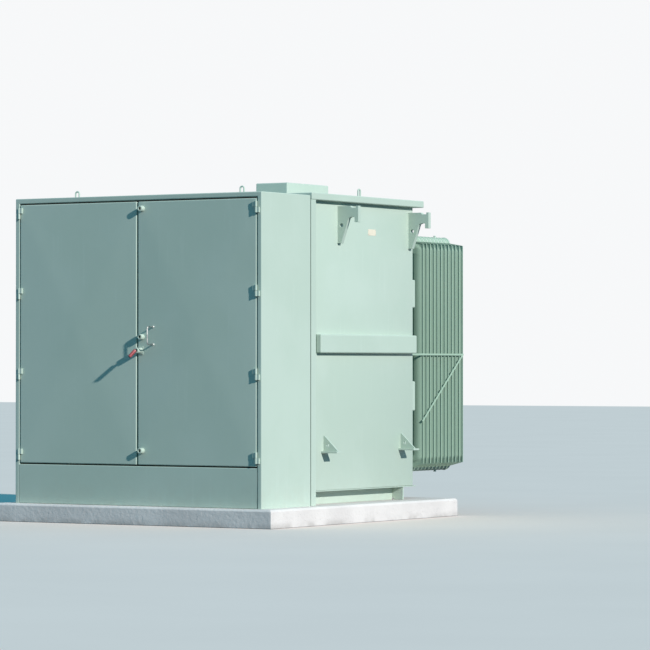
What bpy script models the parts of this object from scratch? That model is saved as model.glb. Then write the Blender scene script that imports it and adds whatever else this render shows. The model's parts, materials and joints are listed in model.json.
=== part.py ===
"""A pad-mounted power transformer on its concrete plinth.

A two-door terminal cabinet stands in front of a sealed tank, and four banks of fluted
radiator panels hang on header pipes behind it. Metres, +Z up, -Y towards the doors and
+X to the right of someone who faces them. The origin is the middle of the plinth's underside.
"""

import math

import bmesh
import bpy
from mathutils import Matrix, Vector

# Clearances and sheet metal
SEAT_GAP = 0.0003
FUSE_BITE = 0.0015
CUT_OVERRUN = 0.002
MERGE_DISTANCE = 0.00001
SHEET = 0.003

# Plinth under the cabinet and the tank
PLINTH_HEIGHT = 0.120
PLINTH_SIDE_MARGIN = 0.110
PLINTH_FRONT_MARGIN = 0.060
PLINTH_REAR_MARGIN = 0.330
PLINTH_CHAMFER = 0.012

# Terminal cabinet
WIDTH = 1.940
CABINET_DEPTH = 0.581
CABINET_HEIGHT = 2.000
STRIP_WIDTH = 0.033
HEADER_HEIGHT = 0.033
REAR_FLANGE = 0.045
SILL_HEIGHT = 0.257
SILL_FLANGE = 0.060
SILL_END_GAP = 0.0015
GASKET_THICKNESS = 0.008
GASKET_RECESS = 0.012

# Doors and their lift-off hinges
DOOR_GAP = 0.006
SEAM_GAP = 0.007
SEAM_OFFSET = 0.012
DOOR_FOLD = 0.035
DOOR_CROWN = 0.008
HINGE_OFFSET = 0.010
HINGE_COUNT = 4
HINGE_END_INSET = 0.058
KNUCKLE_RADIUS = 0.009
KNUCKLE_HEIGHT = 0.037
LEAF_REACH = 0.024
LEAF_FRONT = 0.004
KNUCKLE_SEGMENTS = 8

# Hardware near the free edge of the right door, as heights over the door's lower edge
CUP_INSET = 0.036
CUP_RADIUS = 0.0185
CUP_LENGTH = 0.032
CUP_BORE_RADIUS = 0.0085
CUP_BORE_DEPTH = 0.024
LOW_CUP_HEIGHT = 0.0935
MIDDLE_CUP_HEIGHT = 0.825
TOP_CUP_DROP = 0.048
HANDLE_INSET = 0.123
HANDLE_HEIGHT = 0.832
HANDLE_SPAN = 0.113
HANDLE_REACH = 0.064
HANDLE_ROD_RADIUS = 0.0045
HANDLE_BEND_RADIUS = 0.009
BEND_STEPS = 4
BOSS_INSET = 0.026
BOSS_HEIGHT = 0.738
BOSS_RADIUS = 0.018
BOSS_LENGTH = 0.055
BOSS_BORE_RADIUS = 0.009
BOSS_BORE_DEPTH = 0.048
LOCK_PLATE_WIDTH = 0.040
LOCK_PLATE_HEIGHT = 0.052
LOCK_PLATE_THICKNESS = 0.004
PADLOCK_LENGTH = 0.060
PADLOCK_RADIUS = 0.0115
PADLOCK_RIDGE = 0.002
PADLOCK_BANDS = 5
PADLOCK_TILT = math.radians(44.0)
PADLOCK_SWING = math.radians(22.6)
TURNED_STEPS = 12

# Sealed tank
TANK_LENGTH = 1.353
TANK_INSET = 0.048
FRONT_PLATE_DEPTH = 0.057
TANK_UNDERSIDE = 0.093
BOTTOM_PLATE_THICKNESS = 0.006
BOTTOM_PLATE_REAR_LIP = 0.045
COVER_THICKNESS = 0.045
COVER_STEP = 0.018
COVER_REAR_OVERHANG = 0.068
COVER_FRONT_SETBACK = 0.010
TANK_EDGE_RADIUS = 0.004

# Skids and the rear cross plate that carry the tank
SKID_INSET = 0.090
SKID_WIDTH = 0.100
SKID_FLANGE = 0.008
CROSS_PLATE_THICKNESS = 0.012
CROSS_PLATE_SETBACK = 0.110
CROSS_PLATE_INSET = 0.006
CROSS_PLATE_FOOT = 0.066
CROSS_PLATE_RISE = 0.030

# Stiffeners welded to the tank walls
SIDE_RIB_LOW = 0.985
SIDE_RIB_HEIGHT = 0.122
SIDE_RIB_DEPTH = 0.042
SIDE_RIB_FRONT_INSET = 0.072
SIDE_RIB_REAR_INSET = 0.014
REAR_RIB_DEPTH = 0.048
REAR_RIB_END_INSET = 0.008
UPPER_RIB_LOW = 1.295
UPPER_RIB_HEIGHT = 0.190
LOWER_RIB_LOW = 0.598
LOWER_RIB_HEIGHT = 0.200
RIB_EDGE_RADIUS = 0.006

# Lifting lugs
LUG_REACH = 0.160
LUG_HEIGHT = 0.243
LUG_FRONT_TOP_DROP = 0.028
LUG_REAR_TOP_DROP = 0.038
LUG_THICKNESS = 0.030
LUG_FRONT_SETBACK = 0.407
LUG_REAR_SETBACK = 0.047
LUG_HOLE_RADIUS = 0.013
LUG_HOLE_SHARES = (0.19, 0.485)
LUG_OUTLINE_SHARES = (
    (0.00, 0.00),
    (0.18, 0.00),
    (0.53, 0.67),
    (0.64, 0.70),
    (0.82, 0.70),
    (0.82, 0.56),
    (1.00, 0.56),
    (1.00, 1.00),
    (0.88, 1.00),
    (0.88, 0.95),
    (0.69, 0.95),
    (0.62, 1.00),
    (0.00, 1.00),
)

# Jacking brackets
JACK_REACH = 0.120
JACK_HEIGHT = 0.103
JACK_LOW = 0.336
JACK_PLATE_THICKNESS = 0.012
JACK_PLATE_WIDTH = 0.072
JACK_GUSSET_THICKNESS = 0.012
JACK_FRONT_SETBACK = 0.229
JACK_REAR_SETBACK = 0.154
JACK_HOLE_RADIUS = 0.010
JACK_HOLE_SHARES = (0.27, 0.39)
JACK_OUTLINE_SHARES = ((0.00, 0.00), (0.90, 0.00), (0.90, 0.04), (0.04, 1.00), (0.00, 1.00))

# Radiator banks
BANK_COUNT = 4
BANK_SIDE_INSET = 0.0305
PANEL_COUNT = 12
PANEL_PITCH = 0.0491
PANEL_FIRST = 0.188
PANEL_WIDTH = 0.325
PANEL_THICKNESS = 0.024
PANEL_RIM_THICKNESS = 0.003
PANEL_RIM_TAPER = 0.012
PANEL_CORNER_LOW = 0.235
PANEL_CORNER_HIGH = 1.736
PANEL_TOP_RISE = 0.022
PANEL_BOTTOM_DROP = 0.032
SHOULDER_WIDTH = 0.085
HIGH_SHOULDER_HEIGHT = 0.070
LOW_SHOULDER_HEIGHT = 0.066
SHOULDER_ANGLE = math.radians(45.0)
GROOVE_COUNT = 3
GROOVE_PITCH = 0.085
GROOVE_WIDTH = 0.018
GROOVE_DEPTH = 0.008
GROOVE_END_INSET = 0.082
LOW_HEADER_OUTSET = 0.013
HIGH_HEADER_OUTSET = 0.016
HEADER_RADIUS = 0.039
HEADER_OVERRUN = 0.028
HEADER_SEGMENTS = 10
COLLAR_RADIUS = 0.056
COLLAR_LENGTH = 0.004
CAP_RADIUS = 0.041
CAP_THICKNESS = 0.009
CAP_PLUG_RADIUS = 0.015
CAP_PLUG_LENGTH = 0.012
VENT_RADIUS = 0.009
VENT_LENGTH = 0.015
VENT_INNER_SETBACK = 0.243
VENT_OUTER_SETBACK = 0.6195
VENT_SEGMENTS = 6

# Flat braces along the flanks of the banks
BRACE_THICKNESS = 0.005
BRACE_WIDTH = 0.013
BRACE_HEIGHT = 0.980
RIGHT_BRACE_FOOT_SETBACK = 0.173
RIGHT_BRACE_FOOT_HEIGHT = 0.523
LEFT_BRACE_FOOT_SETBACK = 0.120
LEFT_BRACE_FOOT_HEIGHT = 1.478

# Box on the cover
COVER_BOX_WIDTH = 0.255
COVER_BOX_LENGTH = 0.524
COVER_BOX_HEIGHT = 0.113
COVER_BOX_OFFSET = 0.084
COVER_BOX_REAR_SETBACK = 0.010
COVER_BOX_NECK_HEIGHT = 0.012
COVER_BOX_NECK_INSET = 0.012
COVER_BOX_EDGE = 0.005
HASP_WIDTH = 0.044
HASP_HEIGHT = 0.034
HASP_REACH = 0.012
HASP_SPREAD_SHARE = 0.23

# Rod loops on the two roofs
LOOP_WIDTH = 0.040
LOOP_ROD_RADIUS = 0.0055
LOOP_HEIGHT = 0.056
ROOF_LOOP_SIDE_SHARE = 0.673
ROOF_LOOP_DEPTH_SHARE = 0.44
COVER_LOOP_EDGE_INSET = 0.065
COVER_LOOP_LENGTH_SHARE = 0.51
LOOP_STEPS = 6

# Bushings on the tank's front plate, inside the cabinet
BUSHING_PLATE_THICKNESS = 0.012
HIGH_COUNT = 3
HIGH_SPACING = 0.190
HIGH_CENTRE_SHARE = -0.50
HIGH_HEIGHT = 1.330
HIGH_RADIUS = 0.058
HIGH_TIP_RADIUS = 0.038
HIGH_LENGTH = 0.130
LOW_COUNT = 4
LOW_SPACING = 0.190
LOW_CENTRE_SHARE = 0.485
LOW_HEIGHT = 1.330
LOW_RADIUS = 0.036
LOW_LENGTH = 0.080
SPADE_WIDTH = 0.076
SPADE_LENGTH = 0.110
SPADE_THICKNESS = 0.014
BUSHING_PLATE_MARGIN = 0.035
BUSHING_SEGMENTS = 12

# Places worked out from the sizes above
HALF_WIDTH = WIDTH / 2
PLINTH_WIDTH = WIDTH + 2 * PLINTH_SIDE_MARGIN
PLINTH_LENGTH = PLINTH_FRONT_MARGIN + CABINET_DEPTH + TANK_LENGTH + PLINTH_REAR_MARGIN
FRONT_Y = PLINTH_FRONT_MARGIN - PLINTH_LENGTH / 2
CABINET_REAR_Y = FRONT_Y + CABINET_DEPTH
TANK_FRONT_Y = CABINET_REAR_Y + FRONT_PLATE_DEPTH
TANK_REAR_Y = CABINET_REAR_Y + TANK_LENGTH
FLOOR_Z = PLINTH_HEIGHT
BASE_Z = FLOOR_Z + SEAT_GAP
ROOF_Z = FLOOR_Z + CABINET_HEIGHT
COVER_TOP_Z = ROOF_Z + COVER_STEP
COVER_UNDER_Z = COVER_TOP_Z - COVER_THICKNESS
TANK_HALF_WIDTH = HALF_WIDTH - TANK_INSET
SILL_TOP_Z = FLOOR_Z + SILL_HEIGHT
DOOR_LOW_Z = SILL_TOP_Z + DOOR_GAP
DOOR_HIGH_Z = ROOF_Z - HEADER_HEIGHT - DOOR_GAP
DOOR_HEIGHT = DOOR_HIGH_Z - DOOR_LOW_Z
HINGE_X = HALF_WIDTH - STRIP_WIDTH - DOOR_GAP / 2
HINGE_Y = FRONT_Y - HINGE_OFFSET
STACK_LENGTH = (PANEL_COUNT - 1) * PANEL_PITCH
GROOVE_LOW = PANEL_CORNER_LOW + GROOVE_END_INSET
GROOVE_HIGH = PANEL_CORNER_HIGH - GROOVE_END_INSET
HEADER_LOW = PANEL_CORNER_LOW - LOW_HEADER_OUTSET
HEADER_HIGH = PANEL_CORNER_HIGH + HIGH_HEADER_OUTSET
BANK_SPREAD = 2 * (TANK_HALF_WIDTH - BANK_SIDE_INSET) - PANEL_WIDTH
HIGH_CENTRE = HIGH_CENTRE_SHARE * HALF_WIDTH
LOW_CENTRE = LOW_CENTRE_SHARE * HALF_WIDTH
RIGHT, LEFT = 1, -1


def clear_scene():
    """Remove whatever the file opened with."""
    for old in list(bpy.data.objects):
        bpy.data.objects.remove(old, do_unlink=True)


def new_collection(name):
    """Make a collection in the scene."""
    made = bpy.data.collections.new(name)
    bpy.context.scene.collection.children.link(made)
    return made


def finish_of(name, colour, roughness, metallic=0.0):
    """Make a material of one colour for a sub-part."""
    made = bpy.data.materials.new(name)
    made.use_nodes = True
    shader = made.node_tree.nodes["Principled BSDF"]
    shader.inputs["Base Color"].default_value = (*colour, 1.0)
    shader.inputs["Roughness"].default_value = roughness
    shader.inputs["Metallic"].default_value = metallic
    made.diffuse_color = (*colour, 1.0)
    return made


class Shape:
    """Collects simple closed shapes in one mesh, in the local frame of the piece."""

    def __init__(self):
        self.bm = bmesh.new()

    def block(self, low, high):
        """Add a box between two corners."""
        low, high = Vector(low), Vector(high)
        place = Matrix.Translation((low + high) / 2) @ Matrix.Diagonal((*(high - low), 1.0))
        bmesh.ops.create_cube(self.bm, size=1.0, matrix=place)
        return self

    def rod(self, start, end, radius, end_radius=None, segments=TURNED_STEPS):
        """Add a cylinder or a cone between two points."""
        start, end = Vector(start), Vector(end)
        run = end - start
        turn = run.to_track_quat("Z", "Y").to_matrix().to_4x4()
        bmesh.ops.create_cone(
            self.bm,
            cap_ends=True,
            segments=segments,
            radius1=radius,
            radius2=radius if end_radius is None else end_radius,
            depth=run.length,
            matrix=Matrix.Translation((start + end) / 2) @ turn,
        )
        return self

    def outline(self, points, along, start, end):
        """Add a prism: an outline of (first, second) axis values, run along the third axis."""
        order = {"x": (1, 2, 0), "y": (0, 2, 1), "z": (0, 1, 2)}[along]
        ring = []
        for first, second in points:
            place = [0.0, 0.0, 0.0]
            place[order[0]], place[order[1]], place[order[2]] = first, second, start
            ring.append(self.bm.verts.new(place))
        face = self.bm.faces.new(ring)
        step = [0.0, 0.0, 0.0]
        step[order[2]] = end - start
        made = bmesh.ops.extrude_face_region(self.bm, geom=[face])["geom"]
        moved = [item for item in made if isinstance(item, bmesh.types.BMVert)]
        bmesh.ops.translate(self.bm, verts=moved, vec=step)
        return self

    def loft(self, sections):
        """Add a solid through a list of (outline, depth) sections whose outlines have like points."""
        rings = []
        for points, depth in sections:
            rings.append([self.bm.verts.new((across, depth, height)) for across, height in points])
        for near, far in zip(rings, rings[1:]):
            for index in range(len(near)):
                after = (index + 1) % len(near)
                self.bm.faces.new((near[index], near[after], far[after], far[index]))
        self.bm.faces.new(rings[0])
        self.bm.faces.new(rings[-1])
        return self

    def mesh(self, name):
        """Turn the collected shapes into a mesh whose faces point out."""
        bmesh.ops.recalc_face_normals(self.bm, faces=self.bm.faces[:])
        made = bpy.data.meshes.new(name)
        self.bm.to_mesh(made)
        self.bm.free()
        return made


class Model:
    """Holds the collections and finishes, and puts each piece in its place."""

    def __init__(self):
        self.parts = new_collection("power_transformer")
        self.cutters = new_collection("power_transformer_cutters")
        self.paint = finish_of("grey_green_paint", (0.48, 0.56, 0.49), 0.45)
        self.radiator_paint = finish_of("radiator_paint", (0.46, 0.54, 0.47), 0.45)
        self.steel = finish_of("galvanised_steel", (0.62, 0.63, 0.62), 0.40, 1.0)
        self.rubber = finish_of("black_rubber", (0.03, 0.03, 0.03), 0.70)
        self.resin = finish_of("bushing_resin", (0.30, 0.12, 0.08), 0.35)
        self.red = finish_of("red_lock_plastic", (0.55, 0.05, 0.04), 0.35)
        self.concrete = finish_of("pale_concrete", (0.62, 0.60, 0.55), 0.90)

    def place(self, name, data, finish, location=(0.0, 0.0, 0.0), parent=None):
        """Add a piece to the model, with its finish and, if it swings, its hinge."""
        made = bpy.data.objects.new(name, data)
        made.data.materials.clear()
        made.data.materials.append(finish)
        made.location = location
        if parent is not None:
            made.parent = parent
        self.parts.objects.link(made)
        return made

    def solid(self, name, shape, finish, location=(0.0, 0.0, 0.0), parent=None):
        """Add a piece made of a Shape."""
        return self.place(name, shape.mesh(name), finish, location, parent)

    def operand(self, piece, shape, operation):
        """Join a shape to a piece, or cut it out, with a Boolean modifier."""
        name = f"{piece.name}_{operation.lower()}_{len(piece.modifiers)}"
        tool = bpy.data.objects.new(name, shape.mesh(name))
        tool.location = piece.location
        tool.rotation_euler = piece.rotation_euler
        tool.parent = piece.parent
        tool.hide_render = True
        tool.display_type = "WIRE"
        self.cutters.objects.link(tool)
        boolean = piece.modifiers.new(operation.lower(), "BOOLEAN")
        boolean.operation = operation
        boolean.solver = "EXACT"
        boolean.object = tool
        return piece

    def join(self, piece, shape):
        """Fuse a shape to a piece."""
        return self.operand(piece, shape, "UNION")

    def cut(self, piece, shape):
        """Cut a shape out of a piece."""
        return self.operand(piece, shape, "DIFFERENCE")

    def turned(self, name, profile, finish, location, rotation=(0.0, 0.0, 0.0), parent=None):
        """Add a turned piece: a profile of (radius, height) that runs down its outer side."""
        data = bpy.data.meshes.new(name)
        points = [(radius, 0.0, height) for radius, height in profile]
        data.from_pydata(points, [(i, i + 1) for i in range(len(points) - 1)], [])
        made = self.place(name, data, finish, location, parent)
        made.rotation_euler = rotation
        screw = made.modifiers.new("turn", "SCREW")
        screw.axis = "Z"
        screw.steps = TURNED_STEPS
        screw.render_steps = TURNED_STEPS
        screw.use_merge_vertices = True
        screw.merge_threshold = MERGE_DISTANCE
        return made

    def bent_rod(self, name, points, radius, finish, location, parent=None, rings=1):
        """Add a round rod along a list of points."""
        data = bpy.data.curves.new(name, "CURVE")
        data.dimensions = "3D"
        data.bevel_depth = radius
        data.bevel_resolution = rings
        data.use_fill_caps = True
        spline = data.splines.new("POLY")
        spline.points.add(len(points) - 1)
        for point, place in zip(spline.points, points):
            point.co = (*place, 1.0)
        return self.place(name, data, finish, location, parent)

    def realised(self, piece):
        """Apply a piece's modifiers and return the mesh, with its tools removed."""
        tools = [modifier.object for modifier in piece.modifiers if modifier.type == "BOOLEAN"]
        graph = bpy.context.evaluated_depsgraph_get()
        data = bpy.data.meshes.new_from_object(piece.evaluated_get(graph))
        for old in [piece, *tools]:
            bpy.data.objects.remove(old, do_unlink=True)
        return data


def bevel(piece, width, segments=1):
    """Round or chamfer a piece's edges."""
    edge = piece.modifiers.new("edges", "BEVEL")
    edge.width = width
    edge.segments = segments
    edge.limit_method = "ANGLE"
    return piece


def open_pan(size, open_side, crown=0.0):
    """Make a box without one side, whose opposite side may be creased out to a low point."""
    shape = Shape()
    half = Vector(size) / 2
    shape.block(-half, half)
    way = Vector(open_side)
    for face in shape.bm.faces[:]:
        if face.normal.dot(way) > 0.5:
            bmesh.ops.delete(shape.bm, geom=[face], context="FACES_ONLY")
        elif crown and face.normal.dot(way) < -0.5:
            middle = bmesh.ops.poke(shape.bm, faces=[face])["verts"]
            bmesh.ops.translate(shape.bm, verts=middle, vec=-way * crown)
    made = bpy.data.meshes.new("pan")
    shape.bm.to_mesh(made)
    shape.bm.free()
    return made


def thicken(piece, thickness):
    """Give an open shell its wall, inwards."""
    wall = piece.modifiers.new("wall", "SOLIDIFY")
    wall.thickness = thickness
    wall.offset = -1.0
    wall.use_even_offset = True
    return piece


def evenly(count, spacing, centre=0.0):
    """Give the centres of equal copies about a middle."""
    return [centre + (index - (count - 1) / 2) * spacing for index in range(count)]


def scaled(shares, width, height):
    """Turn an outline's shares into lengths."""
    return [(first * width, second * height) for first, second in shares]


def plinth(model):
    """The cast block that everything stands on."""
    half_width, half_length = PLINTH_WIDTH / 2, PLINTH_LENGTH / 2
    shape = Shape().block((-half_width, -half_length, 0.0), (half_width, half_length, PLINTH_HEIGHT))
    rims = [edge for edge in shape.bm.edges if all(v.co.z > PLINTH_HEIGHT / 2 for v in edge.verts)]
    bmesh.ops.bevel(shape.bm, geom=rims, offset=PLINTH_CHAMFER, segments=1, affect="EDGES")
    model.solid("plinth", shape, model.concrete)


def hinge_heights():
    """Heights of the hinge joints, spread evenly over the doors."""
    low, high = DOOR_LOW_Z + HINGE_END_INSET, DOOR_HIGH_Z - HINGE_END_INSET
    return [low + (high - low) * index / (HINGE_COUNT - 1) for index in range(HINGE_COUNT)]


def knuckles(side, on_door):
    """Four round knuckles with their leaves, about the hinge axis as the local origin."""
    way = -side if on_door else side
    half_gap = DOOR_GAP / 2
    top_angle = math.acos(half_gap / KNUCKLE_RADIUS)
    low_angle = 2 * math.pi - math.asin(LEAF_FRONT / KNUCKLE_RADIUS)
    outline = [(LEAF_REACH, -LEAF_FRONT), (LEAF_REACH, HINGE_OFFSET + FUSE_BITE)]
    outline.append((half_gap, HINGE_OFFSET + FUSE_BITE))
    for step in range(KNUCKLE_SEGMENTS + 1):
        angle = top_angle + (low_angle - top_angle) * step / KNUCKLE_SEGMENTS
        outline.append((KNUCKLE_RADIUS * math.cos(angle), KNUCKLE_RADIUS * math.sin(angle)))
    outline = [(way * across, depth) for across, depth in outline]
    shape = Shape()
    for height in hinge_heights():
        if on_door:
            low, high = height + SEAT_GAP / 2, height + KNUCKLE_HEIGHT
        else:
            low, high = height - KNUCKLE_HEIGHT, height - SEAT_GAP / 2
        shape.outline(outline, "z", low, high)
    return shape


def cabinet_sides(model):
    """Folded side walls, each with a front strip that carries the hinges and a rear flange."""
    top = ROOF_Z - HEADER_HEIGHT - SEAT_GAP
    rear = CABINET_REAR_Y - GASKET_THICKNESS - SEAT_GAP
    for side, name in ((RIGHT, "cabinet_side_right"), (LEFT, "cabinet_side_left")):
        outline = [
            (HALF_WIDTH - STRIP_WIDTH, FRONT_Y),
            (HALF_WIDTH, FRONT_Y),
            (HALF_WIDTH, rear),
            (HALF_WIDTH - REAR_FLANGE, rear),
            (HALF_WIDTH - REAR_FLANGE, rear - SHEET),
            (HALF_WIDTH - SHEET, rear - SHEET),
            (HALF_WIDTH - SHEET, FRONT_Y + SHEET),
            (HALF_WIDTH - STRIP_WIDTH, FRONT_Y + SHEET),
        ]
        outline = [(side * across - side * HINGE_X, depth - HINGE_Y) for across, depth in outline]
        wall = Shape().outline(outline, "z", BASE_Z, top)
        piece = model.solid(name, wall, model.paint, (side * HINGE_X, HINGE_Y, 0.0))
        model.join(piece, knuckles(side, on_door=False))


def cabinet_roof(model):
    """A folded roof whose front lip is the header over the doors."""
    rear = CABINET_REAR_Y - GASKET_THICKNESS - SEAT_GAP
    size = (WIDTH, rear - FRONT_Y, HEADER_HEIGHT)
    place = (0.0, (FRONT_Y + rear) / 2, ROOF_Z - HEADER_HEIGHT / 2)
    piece = model.place("cabinet_roof", open_pan(size, (0.0, 0.0, -1.0)), model.paint, place)
    thicken(piece, SHEET)


def cabinet_sill(model):
    """A folded panel under the doors, between the side strips."""
    reach = HALF_WIDTH - STRIP_WIDTH - SILL_END_GAP
    top = SILL_TOP_Z
    rear = FRONT_Y + SILL_FLANGE
    outline = [
        (FRONT_Y, BASE_Z),
        (rear, BASE_Z),
        (rear, BASE_Z + SHEET),
        (FRONT_Y + SHEET, BASE_Z + SHEET),
        (FRONT_Y + SHEET, top - SHEET),
        (rear, top - SHEET),
        (rear, top),
        (FRONT_Y, top),
    ]
    model.solid("cabinet_sill", Shape().outline(outline, "x", -reach, reach), model.paint)


def joint_gasket(model):
    """A thin seal between the cabinet's rear flanges and the tank."""
    outer, inner = HALF_WIDTH - GASKET_RECESS, HALF_WIDTH - REAR_FLANGE
    top, under = ROOF_Z - GASKET_RECESS, ROOF_Z - HEADER_HEIGHT
    outline = [
        (-outer, BASE_Z),
        (-inner, BASE_Z),
        (-inner, under),
        (inner, under),
        (inner, BASE_Z),
        (outer, BASE_Z),
        (outer, top),
        (-outer, top),
    ]
    start, end = CABINET_REAR_Y - GASKET_THICKNESS, CABINET_REAR_Y - SEAT_GAP
    model.solid("joint_gasket", Shape().outline(outline, "y", start, end), model.rubber)


def door_width(side):
    """Width of the left or the right door, between its hinge gap and the seam."""
    seam_edge = SEAM_OFFSET + side * SEAM_GAP / 2
    return HALF_WIDTH - STRIP_WIDTH - DOOR_GAP - side * seam_edge


def door(model, side, name):
    """One folded door pan, creased from corner to corner, and the empty on its hinge axis."""
    hinge = bpy.data.objects.new(f"{name}_hinge", None)
    hinge.location = (side * HINGE_X, HINGE_Y, 0.0)
    model.parts.objects.link(hinge)
    width = door_width(side)
    data = open_pan((width, DOOR_FOLD, DOOR_HEIGHT), (0.0, 1.0, 0.0), DOOR_CROWN)
    middle_x = -side * (DOOR_GAP / 2 + width / 2)
    middle_y = HINGE_OFFSET + DOOR_FOLD / 2
    data.transform(Matrix.Translation((middle_x, middle_y, DOOR_LOW_Z + DOOR_HEIGHT / 2)))
    piece = model.place(name, data, model.paint, parent=hinge)
    thicken(piece, SHEET)
    model.join(piece, knuckles(side, on_door=True))
    return hinge


def crown_at(inset, height):
    """How far the creased face stands out, at a distance from the free edge and a height."""
    across = inset / (door_width(RIGHT) / 2)
    up = min(height, DOOR_HEIGHT - height) / (DOOR_HEIGHT / 2)
    return DOOR_CROWN * min(across, up)


def on_right_door(inset, height, reach):
    """A seat on the right door's face, in the frame of its hinge."""
    x = -(DOOR_GAP / 2 + door_width(RIGHT) - inset)
    y = HINGE_OFFSET - crown_at(inset + reach, height) - SEAT_GAP
    return (x, y, DOOR_LOW_Z + height)


def cup_profile(radius, length, bore_radius, bore_depth):
    """A round boss with a blind hole in its outer end."""
    floor = length - bore_depth
    return [
        (0.0, floor),
        (bore_radius, floor),
        (bore_radius, length),
        (radius, length),
        (radius, 0.0),
        (0.0, 0.0),
    ]


def door_hardware(model, hinge):
    """Bolt cups, the handle, the lock boss and the lock on the right door."""
    outwards = (math.pi / 2, 0.0, 0.0)
    cups = (
        ("bolt_cup_top", DOOR_HEIGHT - TOP_CUP_DROP),
        ("bolt_cup_middle", MIDDLE_CUP_HEIGHT),
        ("bolt_cup_bottom", LOW_CUP_HEIGHT),
    )
    for name, height in cups:
        profile = cup_profile(CUP_RADIUS, CUP_LENGTH, CUP_BORE_RADIUS, CUP_BORE_DEPTH)
        seat = on_right_door(CUP_INSET, height, CUP_RADIUS)
        model.turned(name, profile, model.paint, seat, outwards, hinge)
    profile = cup_profile(BOSS_RADIUS, BOSS_LENGTH, BOSS_BORE_RADIUS, BOSS_BORE_DEPTH)
    seat = on_right_door(BOSS_INSET, BOSS_HEIGHT, LOCK_PLATE_WIDTH / 2)
    boss = model.turned("lock_boss", profile, model.paint, seat, outwards, hinge)
    half_width, half_height = LOCK_PLATE_WIDTH / 2, LOCK_PLATE_HEIGHT / 2
    plate = Shape().block((-half_width, -half_height, 0.0), (half_width, half_height, LOCK_PLATE_THICKNESS))
    model.join(boss, plate)
    padlock(model, hinge, seat)
    handle(model, hinge)


def padlock(model, hinge, boss_seat):
    """A ridged lock body that hangs out of the boss, swung a little towards the seam."""
    ridge, body = PADLOCK_RADIUS, PADLOCK_RADIUS - PADLOCK_RIDGE
    band = PADLOCK_LENGTH / PADLOCK_BANDS
    profile = [(0.0, PADLOCK_LENGTH)]
    for index in range(PADLOCK_BANDS):
        radius = ridge if index % 2 == 0 else body
        profile.append((radius, PADLOCK_LENGTH - index * band))
        profile.append((radius, PADLOCK_LENGTH - (index + 1) * band))
    profile.append((0.0, 0.0))
    out = math.cos(PADLOCK_TILT) * math.cos(PADLOCK_SWING)
    clear = PADLOCK_RADIUS * math.sqrt(1 - out * out) + SEAT_GAP
    place = (boss_seat[0], boss_seat[1] - BOSS_LENGTH - clear, boss_seat[2])
    turn = (math.pi / 2 + PADLOCK_TILT, 0.0, -PADLOCK_SWING)
    model.turned("padlock", profile, model.red, place, turn, hinge)


def handle(model, hinge):
    """A bent rod that stands out of the door."""
    seat = on_right_door(HANDLE_INSET, HANDLE_HEIGHT, HANDLE_ROD_RADIUS)
    half, bend = HANDLE_SPAN / 2, HANDLE_BEND_RADIUS
    points = [(0.0, 0.0, -half)]
    for turn, centre in ((0, bend - half), (1, half - bend)):
        for step in range(BEND_STEPS + 1):
            angle = math.pi / 2 * (turn + step / BEND_STEPS)
            out = HANDLE_REACH - bend + bend * math.sin(angle)
            points.append((0.0, -out, centre - bend * math.cos(angle)))
    points.append((0.0, 0.0, half))
    model.bent_rod("door_handle", points, HANDLE_ROD_RADIUS, model.steel, seat, hinge, rings=2)


def tank(model):
    """The sealed tank, the plate that closes it towards the cabinet, its floor and its cover."""
    low = FLOOR_Z + TANK_UNDERSIDE
    top = COVER_UNDER_Z - SEAT_GAP
    plate = Shape().block((-HALF_WIDTH, CABINET_REAR_Y, BASE_Z), (HALF_WIDTH, TANK_FRONT_Y, top))
    model.solid("tank_front_plate", plate, model.paint)
    front = TANK_FRONT_Y + SEAT_GAP
    body = Shape().block((-TANK_HALF_WIDTH, front, low), (TANK_HALF_WIDTH, TANK_REAR_Y, top))
    bevel(model.solid("tank_body", body, model.paint), TANK_EDGE_RADIUS, 2)
    rear = TANK_REAR_Y + BOTTOM_PLATE_REAR_LIP
    under = low - SEAT_GAP - BOTTOM_PLATE_THICKNESS
    floor = Shape().block((-TANK_HALF_WIDTH, front, under), (TANK_HALF_WIDTH, rear, low - SEAT_GAP))
    model.solid("tank_bottom_plate", floor, model.paint)
    edge = TANK_REAR_Y + COVER_REAR_OVERHANG
    start = CABINET_REAR_Y + COVER_FRONT_SETBACK
    lid = Shape().block((-HALF_WIDTH, start, COVER_UNDER_Z), (HALF_WIDTH, edge, COVER_TOP_Z))
    bevel(model.solid("tank_cover", lid, model.paint), TANK_EDGE_RADIUS)


def base(model):
    """Two channel skids and a cross plate on two feet under the tank."""
    top = FLOOR_Z + TANK_UNDERSIDE - BOTTOM_PLATE_THICKNESS - 2 * SEAT_GAP
    front = TANK_FRONT_Y + SEAT_GAP
    plate_rear = TANK_REAR_Y - CROSS_PLATE_SETBACK
    plate_front = plate_rear - CROSS_PLATE_THICKNESS
    outer = TANK_HALF_WIDTH - SKID_INSET
    web = outer - SKID_FLANGE
    inner = outer - SKID_WIDTH
    channel = [
        (outer, BASE_Z),
        (outer, top),
        (inner, top),
        (inner, top - SKID_FLANGE),
        (web, top - SKID_FLANGE),
        (web, BASE_Z + SKID_FLANGE),
        (inner, BASE_Z + SKID_FLANGE),
        (inner, BASE_Z),
    ]
    for side, name in ((RIGHT, "base_skid_right"), (LEFT, "base_skid_left")):
        outline = [(side * across, height) for across, height in channel]
        shape = Shape().outline(outline, "y", front, plate_front - SEAT_GAP)
        model.solid(name, shape, model.paint)
    reach = TANK_HALF_WIDTH - CROSS_PLATE_INSET
    foot, rise = reach - CROSS_PLATE_FOOT, CROSS_PLATE_RISE
    plate = [(reach, top), (reach, BASE_Z), (foot, BASE_Z), (foot - rise, BASE_Z + rise)]
    plate += [(-across, height) for across, height in reversed(plate)]
    shape = Shape().outline(plate, "y", plate_front, plate_rear)
    model.solid("base_cross_plate", shape, model.paint)


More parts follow.
